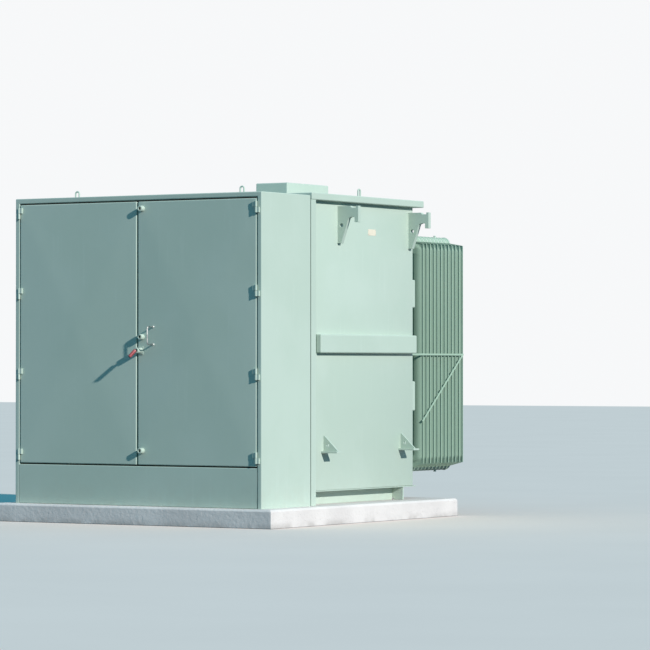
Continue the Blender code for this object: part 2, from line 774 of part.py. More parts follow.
def stiffeners(model):
    """Box ribs along the side walls and across the rear wall."""
    low = FLOOR_Z + SIDE_RIB_LOW
    front, rear = TANK_FRONT_Y + SIDE_RIB_FRONT_INSET, TANK_REAR_Y - SIDE_RIB_REAR_INSET
    for side, name in ((RIGHT, "side_stiffener_right"), (LEFT, "side_stiffener_left")):
        across = sorted((side * (TANK_HALF_WIDTH + SEAT_GAP), side * (TANK_HALF_WIDTH + SIDE_RIB_DEPTH)))
        shape = Shape().block((across[0], front, low), (across[1], rear, low + SIDE_RIB_HEIGHT))
        bevel(model.solid(name, shape, model.paint), RIB_EDGE_RADIUS)
    reach = TANK_HALF_WIDTH - REAR_RIB_END_INSET
    front, rear = TANK_REAR_Y + SEAT_GAP, TANK_REAR_Y + REAR_RIB_DEPTH
    ribs = (
        ("rear_stiffener_upper", FLOOR_Z + UPPER_RIB_LOW, UPPER_RIB_HEIGHT),
        ("rear_stiffener_lower", FLOOR_Z + LOWER_RIB_LOW, LOWER_RIB_HEIGHT),
    )
    for name, low, height in ribs:
        shape = Shape().block((-reach, front, low), (reach, rear, low + height))
        bevel(model.solid(name, shape, model.paint), RIB_EDGE_RADIUS)


def lifting_lugs(model):
    """Hooked plates near the top corners of the tank."""
    places = (
        ("front", CABINET_REAR_Y + LUG_FRONT_SETBACK, LUG_FRONT_TOP_DROP),
        ("rear", TANK_REAR_Y - LUG_REAR_SETBACK, LUG_REAR_TOP_DROP),
    )
    outline = scaled(LUG_OUTLINE_SHARES, LUG_REACH, LUG_HEIGHT)
    hole = (LUG_HOLE_SHARES[0] * LUG_REACH, LUG_HOLE_SHARES[1] * LUG_HEIGHT)
    half = LUG_THICKNESS / 2
    for side, side_name in ((RIGHT, "right"), (LEFT, "left")):
        for end_name, depth, drop in places:
            place = (side * (TANK_HALF_WIDTH + SEAT_GAP), depth, COVER_UNDER_Z - drop - LUG_HEIGHT)
            shape = Shape().outline([(side * out, up) for out, up in outline], "y", -half, half)
            name = f"lifting_lug_{side_name}_{end_name}"
            piece = model.solid(name, shape, model.paint, place)
            centre = Vector((side * hole[0], 0.0, hole[1]))
            run = Vector((0.0, half + CUT_OVERRUN, 0.0))
            model.cut(piece, Shape().rod(centre - run, centre + run, LUG_HOLE_RADIUS))


def jacking_brackets(model):
    """Gusseted plates low on the side walls."""
    low = FLOOR_Z + JACK_LOW
    places = (("front", CABINET_REAR_Y + JACK_FRONT_SETBACK), ("rear", TANK_REAR_Y - JACK_REAR_SETBACK))
    outline = scaled(JACK_OUTLINE_SHARES, JACK_REACH, JACK_HEIGHT)
    hole = (JACK_HOLE_SHARES[0] * JACK_REACH, JACK_HOLE_SHARES[1] * JACK_HEIGHT)
    half, half_gusset = JACK_PLATE_WIDTH / 2, JACK_GUSSET_THICKNESS / 2
    for side, side_name in ((RIGHT, "right"), (LEFT, "left")):
        for end_name, depth in places:
            place = (side * (TANK_HALF_WIDTH + SEAT_GAP), depth, low)
            across = sorted((0.0, side * JACK_REACH))
            shape = Shape().block((across[0], -half, 0.0), (across[1], half, JACK_PLATE_THICKNESS))
            name = f"jacking_bracket_{side_name}_{end_name}"
            piece = model.solid(name, shape, model.paint, place)
            rise = JACK_PLATE_THICKNESS - FUSE_BITE
            points = [(side * out, up + rise) for out, up in outline]
            model.join(piece, Shape().outline(points, "y", -half_gusset, half_gusset))
            centre = Vector((side * hole[0], 0.0, hole[1] + rise))
            run = Vector((0.0, half_gusset + CUT_OVERRUN, 0.0))
            model.cut(piece, Shape().rod(centre - run, centre + run, JACK_HOLE_RADIUS))


def panel_end(corner, way, shoulder, slope):
    """One end of a panel's right half, from flank to pipe: the square rim and the face with its shoulder."""
    half, end = PANEL_WIDTH / 2, HEADER_RADIUS
    flank = corner - way * shoulder
    rim = [(half, flank), (half, corner), (end, corner + way * slope)]
    inner = half - PANEL_RIM_TAPER
    bend = SHOULDER_WIDTH * (1 - math.cos(SHOULDER_ANGLE))
    rise = (shoulder - PANEL_RIM_TAPER) * math.sin(SHOULDER_ANGLE)
    face = [(inner, flank), (inner - bend, flank + way * rise)]
    face.append((end, corner + way * (slope - PANEL_RIM_TAPER)))
    return rim, face


def panel_outlines():
    """The outlines of a panel's rim and of its swollen face, point for point."""
    low = panel_end(PANEL_CORNER_LOW, -1, LOW_SHOULDER_HEIGHT, PANEL_BOTTOM_DROP)
    high = panel_end(PANEL_CORNER_HIGH, 1, HIGH_SHOULDER_HEIGHT, PANEL_TOP_RISE)
    outlines = []
    for foot, head in zip(low, high):
        right = foot[::-1] + head
        outlines.append(right + [(-across, height) for across, height in reversed(right)])
    return outlines


def panel_grooves():
    """Wedges with pointed ends that press the grooves between the flutes, on both faces."""
    shape = Shape()
    face, half = PANEL_THICKNESS / 2, GROOVE_WIDTH / 2
    low, high = GROOVE_LOW, GROOVE_HIGH
    widen = (GROOVE_DEPTH + CUT_OVERRUN) / GROOVE_DEPTH
    for side in (1, -1):
        top = side * (face + CUT_OVERRUN)
        floor = side * (face - GROOVE_DEPTH)
        for across in evenly(GROOVE_COUNT, GROOVE_PITCH):
            ends = [(across, low), (across, high)]
            rim = [(across - half * widen, low), (across - half * widen, high)]
            rim += [(across + half * widen, high), (across + half * widen, low)]
            corners = [shape.bm.verts.new((x, top, z)) for x, z in rim]
            keel = [shape.bm.verts.new((x, floor, z + step)) for (x, z), step in zip(ends, (half, -half))]
            bmesh.ops.convex_hull(shape.bm, input=corners + keel)
    return shape


def radiator_panel():
    """One panel about its own middle plane: a swollen plate that tapers to a thin welded rim."""
    rim, face = panel_outlines()
    half, half_rim = PANEL_THICKNESS / 2, PANEL_RIM_THICKNESS / 2
    return Shape().loft([(face, -half), (rim, -half_rim), (rim, half_rim), (face, half)])


def header_pipe(model, stack, height, up):
    """One header: the pipe, the collar on the last panel, the end cap, its plug and two vents."""
    last = STACK_LENGTH + PANEL_THICKNESS / 2
    end = STACK_LENGTH + HEADER_OVERRUN
    cap = end + CAP_THICKNESS
    turned = (
        (SEAT_GAP - PANEL_FIRST, end, HEADER_RADIUS),
        (last - FUSE_BITE, last + COLLAR_LENGTH, COLLAR_RADIUS),
        (end - FUSE_BITE, cap, CAP_RADIUS),
        (cap - FUSE_BITE, cap + CAP_PLUG_LENGTH, CAP_PLUG_RADIUS),
    )
    for start, stop, radius in turned:
        shape = Shape().rod((0.0, start, height), (0.0, stop, height), radius, segments=HEADER_SEGMENTS)
        model.join(stack, shape)
    vents = Shape()
    inside, outside = up * (HEADER_RADIUS - 2 * FUSE_BITE), up * (HEADER_RADIUS + VENT_LENGTH)
    for setback in (VENT_INNER_SETBACK, VENT_OUTER_SETBACK):
        depth = setback - PANEL_FIRST
        start, stop = (0.0, depth, height + inside), (0.0, depth, height + outside)
        vents.rod(start, stop, VENT_RADIUS, segments=VENT_SEGMENTS)
    model.join(stack, vents)


def radiator_mesh(model):
    """A whole bank as one body: the panels in a row on two header pipes."""
    plain = model.solid("plain_panel", radiator_panel(), model.radiator_paint)
    model.cut(plain, panel_grooves())
    stack = model.place("panel_stack", model.realised(plain), model.radiator_paint)
    row = stack.modifiers.new("row", "ARRAY")
    row.count = PANEL_COUNT
    row.use_relative_offset = False
    row.use_constant_offset = True
    row.constant_offset_displace = (0.0, PANEL_PITCH, 0.0)
    row.use_merge_vertices = False
    header_pipe(model, stack, HEADER_LOW, -1)
    header_pipe(model, stack, HEADER_HIGH, 1)
    return model.realised(stack)


def radiators(model):
    """Four like banks side by side on the rear wall, with their braces."""
    data = radiator_mesh(model)
    names = ("radiator_far_left", "radiator_inner_left", "radiator_inner_right", "radiator_far_right")
    for name, centre in zip(names, evenly(BANK_COUNT, BANK_SPREAD / (BANK_COUNT - 1))):
        place = (centre, TANK_REAR_Y + PANEL_FIRST, FLOOR_Z)
        model.place(name, data, model.radiator_paint, place)
        side = RIGHT if centre > 0 else LEFT
        brace(model, name.replace("radiator", "radiator_brace"), centre, side)


def brace(model, name, centre, side):
    """A level strap and a slanted one along a bank's outer flank."""
    foot = (LEFT_BRACE_FOOT_SETBACK, LEFT_BRACE_FOOT_HEIGHT)
    if side == RIGHT:
        foot = (RIGHT_BRACE_FOOT_SETBACK, RIGHT_BRACE_FOOT_HEIGHT)
    near = side * (PANEL_WIDTH / 2 + SEAT_GAP)
    across = sorted((near, near + side * BRACE_THICKNESS))
    end = PANEL_FIRST + STACK_LENGTH + PANEL_RIM_THICKNESS / 2
    half = BRACE_WIDTH / 2
    place = (centre, TANK_REAR_Y, FLOOR_Z)
    low, high = BRACE_HEIGHT - half, BRACE_HEIGHT + half
    level = Shape().block((across[0], SEAT_GAP, low), (across[1], end, high))
    piece = model.solid(name, level, model.radiator_paint, place)
    tip = (end - half, BRACE_HEIGHT)
    run = Vector((tip[0] - foot[0], tip[1] - foot[1])).normalized()
    off = Vector((-run.y, run.x)) * half
    corners = [
        (foot[0] + off.x, foot[1] + off.y),
        (tip[0] + off.x, tip[1] + off.y),
        (tip[0] - off.x, tip[1] - off.y),
        (foot[0] - off.x, foot[1] - off.y),
    ]
    model.join(piece, Shape().outline(corners, "x", across[0], across[1]))


def cover_box(model):
    """The low box on the tank cover, on a narrower neck."""
    rear = TANK_REAR_Y + COVER_REAR_OVERHANG - COVER_BOX_REAR_SETBACK
    front = rear - COVER_BOX_LENGTH
    half = COVER_BOX_WIDTH / 2
    low = COVER_BOX_NECK_HEIGHT
    shape = Shape().block((-half, front, low), (half, rear, low + COVER_BOX_HEIGHT))
    place = (COVER_BOX_OFFSET, 0.0, COVER_TOP_Z + SEAT_GAP)
    piece = bevel(model.solid("cover_box", shape, model.paint, place), COVER_BOX_EDGE)
    inset = COVER_BOX_NECK_INSET
    neck_high = (half - inset, rear - inset, low + FUSE_BITE)
    model.join(piece, Shape().block((inset - half, front + inset, 0.0), neck_high))
    hasps = Shape()
    for centre in evenly(2, 2 * HASP_SPREAD_SHARE * COVER_BOX_LENGTH, (front + rear) / 2):
        start, stop = centre - HASP_WIDTH / 2, centre + HASP_WIDTH / 2
        hasps.block((-half - HASP_REACH, start, 0.0), (FUSE_BITE - half, stop, HASP_HEIGHT))
    model.join(piece, hasps)


def loop(model, name, place, along):
    """A rod bent to an upside-down U, across or along the object."""
    radius = LOOP_WIDTH / 2 - LOOP_ROD_RADIUS
    spring = LOOP_HEIGHT - LOOP_WIDTH / 2
    flat = [(-radius, 0.0)]
    for step in range(LOOP_STEPS + 1):
        angle = math.pi * (1 - step / LOOP_STEPS)
        flat.append((radius * math.cos(angle), spring + radius * math.sin(angle)))
    flat.append((radius, 0.0))
    points = [(out, 0.0, up) if along == "x" else (0.0, out, up) for out, up in flat]
    model.bent_rod(name, points, LOOP_ROD_RADIUS, model.paint, place)


def rod_loops(model):
    """Two loops on each roof."""
    depth = FRONT_Y + ROOF_LOOP_DEPTH_SHARE * CABINET_DEPTH
    middle = CABINET_REAR_Y + COVER_LOOP_LENGTH_SHARE * TANK_LENGTH
    for side, name in ((RIGHT, "right"), (LEFT, "left")):
        roof = (side * ROOF_LOOP_SIDE_SHARE * HALF_WIDTH, depth, ROOF_Z + SEAT_GAP)
        loop(model, f"roof_loop_{name}", roof, "x")
        cover = (side * (HALF_WIDTH - COVER_LOOP_EDGE_INSET), middle, COVER_TOP_Z + SEAT_GAP)
        loop(model, f"cover_loop_{name}", cover, "y")


def bushings(model):
    """Cone bushings on the left and spade terminals on the right, each set on its plate."""
    face = CABINET_REAR_Y - SEAT_GAP - BUSHING_PLATE_THICKNESS
    half = HIGH_RADIUS + BUSHING_PLATE_MARGIN
    places = evenly(HIGH_COUNT, HIGH_SPACING)
    height = FLOOR_Z + HIGH_HEIGHT
    shape = Shape().block(
        (places[0] - half, 0.0, -half),
        (places[-1] + half, BUSHING_PLATE_THICKNESS, half),
    )
    piece = model.solid("high_voltage_bushings", shape, model.resin, (HIGH_CENTRE, face, height))
    cones = Shape()
    for across in places:
        start, end = (across, FUSE_BITE, 0.0), (across, -HIGH_LENGTH, 0.0)
        cones.rod(start, end, HIGH_RADIUS, HIGH_TIP_RADIUS, BUSHING_SEGMENTS)
    model.join(piece, cones)
    half = LOW_RADIUS + BUSHING_PLATE_MARGIN
    places = evenly(LOW_COUNT, LOW_SPACING)
    height = FLOOR_Z + LOW_HEIGHT
    shape = Shape().block(
        (places[0] - half, 0.0, -half),
        (places[-1] + half, BUSHING_PLATE_THICKNESS, half),
    )
    piece = model.solid("low_voltage_bushings", shape, model.resin, (LOW_CENTRE, face, height))
    studs, spades = Shape(), Shape()
    for across in places:
        studs.rod((across, FUSE_BITE, 0.0), (across, -LOW_LENGTH, 0.0), LOW_RADIUS)
        low = (across - SPADE_THICKNESS / 2, -LOW_LENGTH - SPADE_LENGTH, -SPADE_WIDTH / 2)
        high = (across + SPADE_THICKNESS / 2, FUSE_BITE - LOW_LENGTH, SPADE_WIDTH / 2)
        spades.block(low, high)
    model.join(piece, studs)
    model.join(piece, spades)


def main():
    """Build the whole transformer."""
    clear_scene()
    model = Model()
    plinth(model)
    base(model)
    tank(model)
    stiffeners(model)
    lifting_lugs(model)
    jacking_brackets(model)
    radiators(model)
    cover_box(model)
    rod_loops(model)
    cabinet_sides(model)
    cabinet_roof(model)
    cabinet_sill(model)
    joint_gasket(model)
    bushings(model)
    door(model, LEFT, "left_door")
    door_hardware(model, door(model, RIGHT, "right_door"))


main()
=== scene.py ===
"""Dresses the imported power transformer: fine sheet metal, fluted radiators, hinges, fittings and paint."""

import json
import logging
import math
from dataclasses import dataclass
from enum import Enum
from typing import Sequence

import bmesh
import bpy
from mathutils import Matrix, Vector, noise


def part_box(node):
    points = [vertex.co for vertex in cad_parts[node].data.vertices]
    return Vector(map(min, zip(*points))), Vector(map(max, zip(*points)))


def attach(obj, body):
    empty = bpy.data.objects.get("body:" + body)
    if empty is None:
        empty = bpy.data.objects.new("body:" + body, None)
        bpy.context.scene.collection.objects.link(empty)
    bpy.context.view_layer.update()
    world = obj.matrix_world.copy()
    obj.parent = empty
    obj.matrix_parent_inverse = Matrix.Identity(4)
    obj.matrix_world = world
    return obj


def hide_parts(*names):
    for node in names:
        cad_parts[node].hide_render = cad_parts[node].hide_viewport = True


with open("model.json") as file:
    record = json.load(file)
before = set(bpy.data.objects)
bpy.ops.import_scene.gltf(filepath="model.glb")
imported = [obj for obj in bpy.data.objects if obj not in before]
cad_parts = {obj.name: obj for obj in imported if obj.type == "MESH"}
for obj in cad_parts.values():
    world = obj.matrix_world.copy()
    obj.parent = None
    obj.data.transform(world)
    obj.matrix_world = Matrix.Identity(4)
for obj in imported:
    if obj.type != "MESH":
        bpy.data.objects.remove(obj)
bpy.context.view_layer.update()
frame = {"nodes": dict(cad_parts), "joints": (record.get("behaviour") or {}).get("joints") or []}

LOG = logging.getLogger("power_transformer")
MERGE_DISTANCE = 0.00002
FLAT_ANGLE = math.radians(0.6)
SHARP_ANGLE = math.radians(32.0)
BEVEL_ANGLE = math.radians(28.0)
RIGHT, LEFT = 1, -1

Point = tuple[float, float, float]
Span = tuple[float, float]
Outline = Sequence[tuple[float, float]]
Ring = list[bmesh.types.BMVert]

EVEN: Point = (1.0, 1.0, 1.0)
TO_RIGHT: Point = (1.0, 0.0, 0.0)
TO_FRONT: Point = (0.0, -1.0, 0.0)
TO_REAR: Point = (0.0, 1.0, 0.0)
TO_TOP: Point = (0.0, 0.0, 1.0)


class Body(Enum):
    """The bodies that pieces ride on."""

    ENCLOSURE = "enclosure"
    LEFT_DOOR = "left_door"
    RIGHT_DOOR = "right_door"


class Slot(Enum):
    """The finishes that the record names."""

    PAINT = "grey_green_paint"
    RADIATOR = "radiator_paint"
    STEEL = "bare_steel"
    RUBBER = "gasket_rubber"
    RESIN = "bushing_resin"
    LOCK = "red_lock"
    CONCRETE = "concrete"


# Finishes


@dataclass(frozen=True)
class Mottle:
    """A noise on object coordinates, and the range of it that counts."""

    scale: float
    detail: float
    low: float
    high: float
    stretch: Point = EVEN


@dataclass(frozen=True)
class Grain:
    """A fine relief: a noise on object coordinates, and its depth."""

    scale: float
    detail: float
    depth: float
    stretch: Point = EVEN


class NodeKit:
    """Adds and links the nodes of one tree."""

    def __init__(self, tree: bpy.types.NodeTree) -> None:
        """Keep the tree."""
        self.tree = tree

    def node(self, kind: str, inputs: dict | None = None, **settings: object) -> bpy.types.Node:
        """Add a node.

        Args:
            kind: the node's type name.
            inputs: values or sockets for its inputs, by name or number.
            settings: its own properties.

        Returns:
            The new node.
        """
        made = self.tree.nodes.new(kind)
        for key, value in settings.items():
            setattr(made, key, value)
        for key, value in (inputs or {}).items():
            self.feed(made.inputs[key], value)
        return made

    def feed(self, socket: bpy.types.NodeSocket, value: object) -> None:
        """Give a socket a value, or link another socket to it.

        Args:
            socket: the input that takes it.
            value: a plain value, or the socket that is linked.
        """
        if isinstance(value, bpy.types.NodeSocket):
            self.tree.links.new(value, socket)
        else:
            socket.default_value = value


class Graph(NodeKit):
    """The nodes of one material, on object coordinates."""

    def __init__(self, name: str) -> None:
        """Start a material with its shader and its object coordinates.

        Args:
            name: the material's name.
        """
        self.material = bpy.data.materials.new(name)
        self.material.use_nodes = True
        super().__init__(self.material.node_tree)
        self.shader = self.tree.nodes["Principled BSDF"]
        self.where = self.node("ShaderNodeTexCoord").outputs["Object"]

    def noise(self, scale: float, detail: float, stretch: Point = EVEN) -> bpy.types.NodeSocket:
        """Give a noise value on object coordinates.

        Args:
            scale: how many waves it has in a metre.
            detail: how many finer octaves it has.
            stretch: factors along the three axes.

        Returns:
            The value.
        """
        place = self.node("ShaderNodeMapping", {"Vector": self.where, "Scale": stretch}).outputs[0]
        made = self.node("ShaderNodeTexNoise", {"Vector": place, "Scale": scale, "Detail": detail})
        return made.outputs[0]

    def spread(
        self, value: bpy.types.NodeSocket, taken: Span, given: Span = (0.0, 1.0)
    ) -> bpy.types.NodeSocket:
        """Map a value's range onto another range, clamped and eased.

        Args:
            value: the value.
            taken: the ends of its range.
            given: what those ends turn into.

        Returns:
            The mapped value.
        """
        inputs = {"Value": value, "From Min": taken[0], "From Max": taken[1]}
        inputs |= {"To Min": given[0], "To Max": given[1]}
        return self.node("ShaderNodeMapRange", inputs, interpolation_type="SMOOTHSTEP").outputs[0]

    def mottle(self, pattern: Mottle, given: Span = (0.0, 1.0)) -> bpy.types.NodeSocket:
        """Give a cloudy value between two ends.

        Args:
            pattern: the noise and its range.
            given: the ends.

        Returns:
            The value.
        """
        value = self.noise(pattern.scale, pattern.detail, pattern.stretch)
        return self.spread(value, (pattern.low, pattern.high), given)

    def product(self, first: object, second: object) -> bpy.types.NodeSocket:
        """Multiply two values."""
        return self.node("ShaderNodeMath", {0: first, 1: second}, operation="MULTIPLY").outputs[0]

    def mixed(self, share: object, first: object, second: object) -> bpy.types.NodeSocket:
        """Mix two colours by a share."""
        inputs = {0: share, 6: first, 7: second}
        return self.node("ShaderNodeMix", inputs, data_type="RGBA").outputs[2]

    def bump(self, height: object, depth: float, below: object = None) -> bpy.types.NodeSocket:
        """Give a bumped normal.

        Args:
            height: the value that stands out.
            depth: how far it stands out, in metres.
            below: the normal that it lies on, if any.

        Returns:
            The normal.
        """
        inputs = {"Height": height, "Distance": depth, "Strength": 1.0}
        if below is not None:
            inputs["Normal"] = below
        return self.node("ShaderNodeBump", inputs).outputs[0]

    def relief(self, grain: Grain, below: object = None) -> bpy.types.NodeSocket:
        """Give the normal of a grain, on top of another one where it is given."""
        return self.bump(self.noise(grain.scale, grain.detail, grain.stretch), grain.depth, below)

    def height(self) -> bpy.types.NodeSocket:
        """Give the height over the floor."""
        return self.node("ShaderNodeSeparateXYZ", {0: self.where}).outputs[2]

    def facing_up(self) -> bpy.types.NodeSocket:
        """Give how much a surface faces up."""
        normal = self.node("ShaderNodeNewGeometry").outputs["Normal"]
        return self.node("ShaderNodeSeparateXYZ", {0: normal}).outputs[2]

    def dressed(self, inputs: dict[str, object]) -> bpy.types.Material:
        """Give the shader its inputs, and give the material.

        Args:
            inputs: values or sockets for the shader, by name.

        Returns:
            The finished material.
        """
        for key, value in inputs.items():
            self.feed(self.shader.inputs[key], value)
        return self.material


def linear(colour: Point) -> tuple[float, float, float, float]:
    """Turn a screen colour into the linear one that shaders take."""
    return (*[c / 12.92 if c <= 0.04045 else ((c + 0.055) / 1.055) ** 2.4 for c in colour], 1.0)


@dataclass(frozen=True)
class PaintFinish:
    """Weathered satin paint with a fine orange peel, chalk clouds, rain streaks and dust."""

    name: str
    colour: Point
    chalk: Point
    dust: Point = (0.66, 0.64, 0.58)
    chalk_share: float = 0.30
    streak_share: float = 0.22
    dust_share: float = 0.12
    specular: float = 0.25
    roughness: Span = (0.36, 0.50)
    clouds: Mottle = Mottle(1.7, 4.0, 0.40, 0.66)
    streaks: Mottle = Mottle(5.0, 3.0, 0.56, 0.74, (9.0, 9.0, 0.35))
    patches: Mottle = Mottle(2.3, 2.0, 0.42, 0.60)
    grime: Mottle = Mottle(14.0, 5.0, 0.34, 0.70)
    wear: Mottle = Mottle(6.0, 4.0, 0.35, 0.68)
    splash_heights: Span = (0.42, 0.10)
    lying_flat: Span = (0.75, 0.98)
    peel: Grain = Grain(520.0, 1.0, 0.00012)
    waves: Grain = Grain(9.0, 1.0, 0.00048)

    def build(self) -> bpy.types.Material:
        """Make the material.

        Returns:
            The finished material.
        """
        g = Graph(self.name)
        chalk, dust = linear(self.chalk), linear(self.dust)
        colour = g.mixed(g.product(g.mottle(self.clouds), self.chalk_share), linear(self.colour), chalk)
        streaks = g.product(g.mottle(self.streaks), g.mottle(self.patches))
        colour = g.mixed(g.product(streaks, self.streak_share), colour, chalk)
        grime = g.mottle(self.grime)
        low = g.spread(g.height(), self.splash_heights)
        flat = g.spread(g.facing_up(), self.lying_flat)
        for place in (low, flat):
            colour = g.mixed(g.product(g.product(place, grime), self.dust_share), colour, dust)
        return g.dressed({
            "Base Color": colour,
            "Roughness": g.mottle(self.wear, self.roughness),
            "Normal": g.relief(self.peel, g.relief(self.waves)),
            "Specular IOR Level": self.specular,
        })


@dataclass(frozen=True)
class MetalFinish:
    """Bare or plated metal with brushed and cloudy tones."""

    name: str
    colour: Point
    tarnish: Point
    roughness: Span = (0.28, 0.46)
    clouds: Mottle = Mottle(60.0, 4.0, 0.38, 0.66)
    wear: Mottle = Mottle(120.0, 3.0, 0.30, 0.70)
    brushing: Grain = Grain(700.0, 2.0, 0.00006, (1.0, 1.0, 12.0))

    def build(self) -> bpy.types.Material:
        """Make the material.

        Returns:
            The finished material.
        """
        g = Graph(self.name)
        return g.dressed({
            "Base Color": g.mixed(g.mottle(self.clouds), linear(self.colour), linear(self.tarnish)),
            "Roughness": g.mottle(self.wear, self.roughness),
            "Normal": g.relief(self.brushing),
            "Metallic": 1.0,
        })


@dataclass(frozen=True)
class MouldedFinish:
    """Rubber, resin or plastic: a base tone, a worn tone and a fine surface grain."""

    name: str
    colour: Point
    worn: Point
    roughness: Span
    clouds: Mottle = Mottle(22.0, 4.0, 0.42, 0.72)
    wear: Mottle = Mottle(45.0, 3.0, 0.32, 0.68)
    grain: Grain = Grain(900.0, 2.0, 0.00008)

    def build(self) -> bpy.types.Material:
        """Make the material.

        Returns:
            The finished material.
        """
        g = Graph(self.name)
        return g.dressed({
            "Base Color": g.mixed(g.mottle(self.clouds), linear(self.colour), linear(self.worn)),
            "Roughness": g.mottle(self.wear, self.roughness),
            "Normal": g.relief(self.grain),
        })


@dataclass(frozen=True)
class ConcreteFinish:
    """Cast concrete with clouds, pores, trowel marks, and a darker tone towards its foot and in its pores."""

    name: str
    colour: Point
    pale: Point
    darker_tone: Point
    foot_share: float = 0.6
    pit_share: float = 0.55
    roughness: Span = (0.82, 0.95)
    clouds: Mottle = Mottle(3.2, 6.0, 0.36, 0.66)
    foot: Mottle = Mottle(7.0, 4.0, 0.35, 0.60)
    foot_heights: Span = (0.050, 0.0)
    pore_scale: float = 85.0
    pore_reach: Span = (0.22, 0.10)
    pore_groups: Mottle = Mottle(30.0, 2.0, 0.52, 0.60)
    pit_depth: float = 0.0016
    wear: Mottle = Mottle(20.0, 3.0, 0.30, 0.70)
    casting: Grain = Grain(46.0, 8.0, 0.0025)

    def build(self) -> bpy.types.Material:
        """Make the material.

        Returns:
            The finished material.
        """
        g = Graph(self.name)
        darker_tone = linear(self.darker_tone)
        colour = g.mixed(g.mottle(self.clouds), linear(self.colour), linear(self.pale))
        # Darker towards the foot: over the lowest five centimetres the colour goes towards the darker tone.
        foot = g.product(g.spread(g.height(), self.foot_heights), g.mottle(self.foot))
        colour = g.mixed(g.product(foot, self.foot_share), colour, darker_tone)
        # The pores are darkened towards the darker tone.
        cells = {"Vector": g.where, "Scale": self.pore_scale, "Randomness": 1.0}
        pores = g.spread(g.node("ShaderNodeTexVoronoi", cells).outputs["Distance"], self.pore_reach)
        pits = g.product(pores, g.mottle(self.pore_groups))
        colour = g.mixed(g.product(pits, self.pit_share), colour, darker_tone)
        return g.dressed({
            "Base Color": colour,
            "Roughness": g.mottle(self.wear, self.roughness),
            "Normal": g.bump(g.product(pits, -1.0), self.pit_depth, g.relief(self.casting)),
        })


@dataclass(frozen=True)
class Coat:
    """A material, and the record's finish that it stands for."""

    material: bpy.types.Material
    slot: Slot


class Finishes:
    """All the coats, made once."""

    def __init__(self) -> None:
        """Make every coat."""
        paint = PaintFinish("grey_green_satin", (0.715, 0.773, 0.721), (0.770, 0.817, 0.775))
        # The radiator paint is a darker, greener copy of the tank paint: painted shade for the shaded flutes
        # among the panels, which really wear the tank's paint.
        radiator_with_painted_shade = PaintFinish("radiator_satin_painted_shade", (0.624, 0.718, 0.640), (0.672, 0.757, 0.690))
        steel = MetalFinish("galvanised_rod", (0.78, 0.79, 0.78), (0.62, 0.64, 0.64))
        brass = MetalFinish("bronze_bolt_head", (0.66, 0.56, 0.38), (0.42, 0.38, 0.30))
        tinned = MetalFinish("tinned_copper", (0.80, 0.78, 0.74), (0.66, 0.60, 0.54))
        rubber = MouldedFinish("black_seal_rubber", (0.06, 0.06, 0.06), (0.13, 0.13, 0.12), (0.55, 0.75))
        resin = MouldedFinish("red_brown_resin", (0.42, 0.22, 0.16), (0.50, 0.29, 0.22), (0.22, 0.38))
        lock = MouldedFinish("red_lock_jacket", (0.64, 0.29, 0.31), (0.76, 0.46, 0.47), (0.35, 0.50))
        label = MouldedFinish("blank_cream_plate", (0.90, 0.85, 0.77), (0.86, 0.81, 0.73), (0.35, 0.50))
        tones = (0.855, 0.820, 0.805), (0.900, 0.865, 0.848), (0.68, 0.65, 0.63)
        self.paint = Coat(paint.build(), Slot.PAINT)
        self.radiator_with_painted_shade = Coat(radiator_with_painted_shade.build(), Slot.RADIATOR)
        self.steel = Coat(steel.build(), Slot.STEEL)
        self.brass = Coat(brass.build(), Slot.STEEL)
        self.tinned = Coat(tinned.build(), Slot.STEEL)
        self.rubber = Coat(rubber.build(), Slot.RUBBER)
        self.resin = Coat(resin.build(), Slot.RESIN)
        self.lock = Coat(lock.build(), Slot.LOCK)
        self.label = Coat(label.build(), Slot.PAINT)
        self.concrete = Coat(ConcreteFinish("cast_concrete", *tones).build(), Slot.CONCRETE)


# Mesh tools


def plain_mesh(name: str, bm: bmesh.types.BMesh) -> bpy.types.Mesh:
    """Turn a shape into a mesh.

    Args:
        name: the mesh's name.
        bm: the shape, which is used up.

    Returns:
        The mesh.
    """
    data = bpy.data.meshes.new(name)
    bm.to_mesh(data)
    bm.free()
    return data


def add_block(bm: bmesh.types.BMesh, low: Point, high: Point) -> None:
    """Add a box between two corners.

    Args:
        bm: the mesh that takes the shape.
        low: the lowest corner.
        high: the highest corner.
    """
    low_at, high_at = Vector(low), Vector(high)
    place = Matrix.Translation((low_at + high_at) / 2) @ Matrix.Diagonal((*(high_at - low_at), 1.0))
    bmesh.ops.create_cube(bm, size=1.0, matrix=place)


def add_band(bm: bmesh.types.BMesh, first: Ring, second: Ring) -> list[bmesh.types.BMFace]:
    """Join two closed rings of corners by faces, or a ring and a single corner.

    Args:
        bm: the mesh that both are in.
        first: the first ring.
        second: the second ring.

    Returns:
        The faces.
    """
    faces = []
    for step in range(max(len(first), len(second))):
        corners = [first[step % len(first)], first[(step + 1) % len(first)]]
        corners += [second[(step + 1) % len(second)], second[step % len(second)]]
        faces.append(bm.faces.new(list(dict.fromkeys(corners))))
    return faces


def add_sheet(bm: bmesh.types.BMesh, grid: list[Ring]) -> None:
    """Fill the cells between the rows of a grid of corners.

    Args:
        bm: the mesh that the corners are in.
        grid: the rows, which are as long as each other.
    """
    for near, far in zip(grid, grid[1:]):
        for index in range(len(near) - 1):
            bm.faces.new((near[index], near[index + 1], far[index + 1], far[index]))


def rim_of(grid: list[Ring]) -> Ring:
    """Give the corners round the edge of a grid, in order."""
    along = grid[0][:-1] + [line[-1] for line in grid[:-1]]
    return along + grid[-1][:0:-1] + [line[0] for line in grid[:0:-1]]


def face_front_out(bm: bmesh.types.BMesh) -> None:
    """Turn the faces of an open sheet outwards, so that its foremost face looks to the front.

    Args:
        bm: the mesh of the sheet.
    """
    bmesh.ops.recalc_face_normals(bm, faces=bm.faces[:])
    foremost = min(bm.faces, key=lambda face: face.calc_center_median().y)
    if foremost.normal.y > 0:
        bmesh.ops.reverse_faces(bm, faces=bm.faces[:])


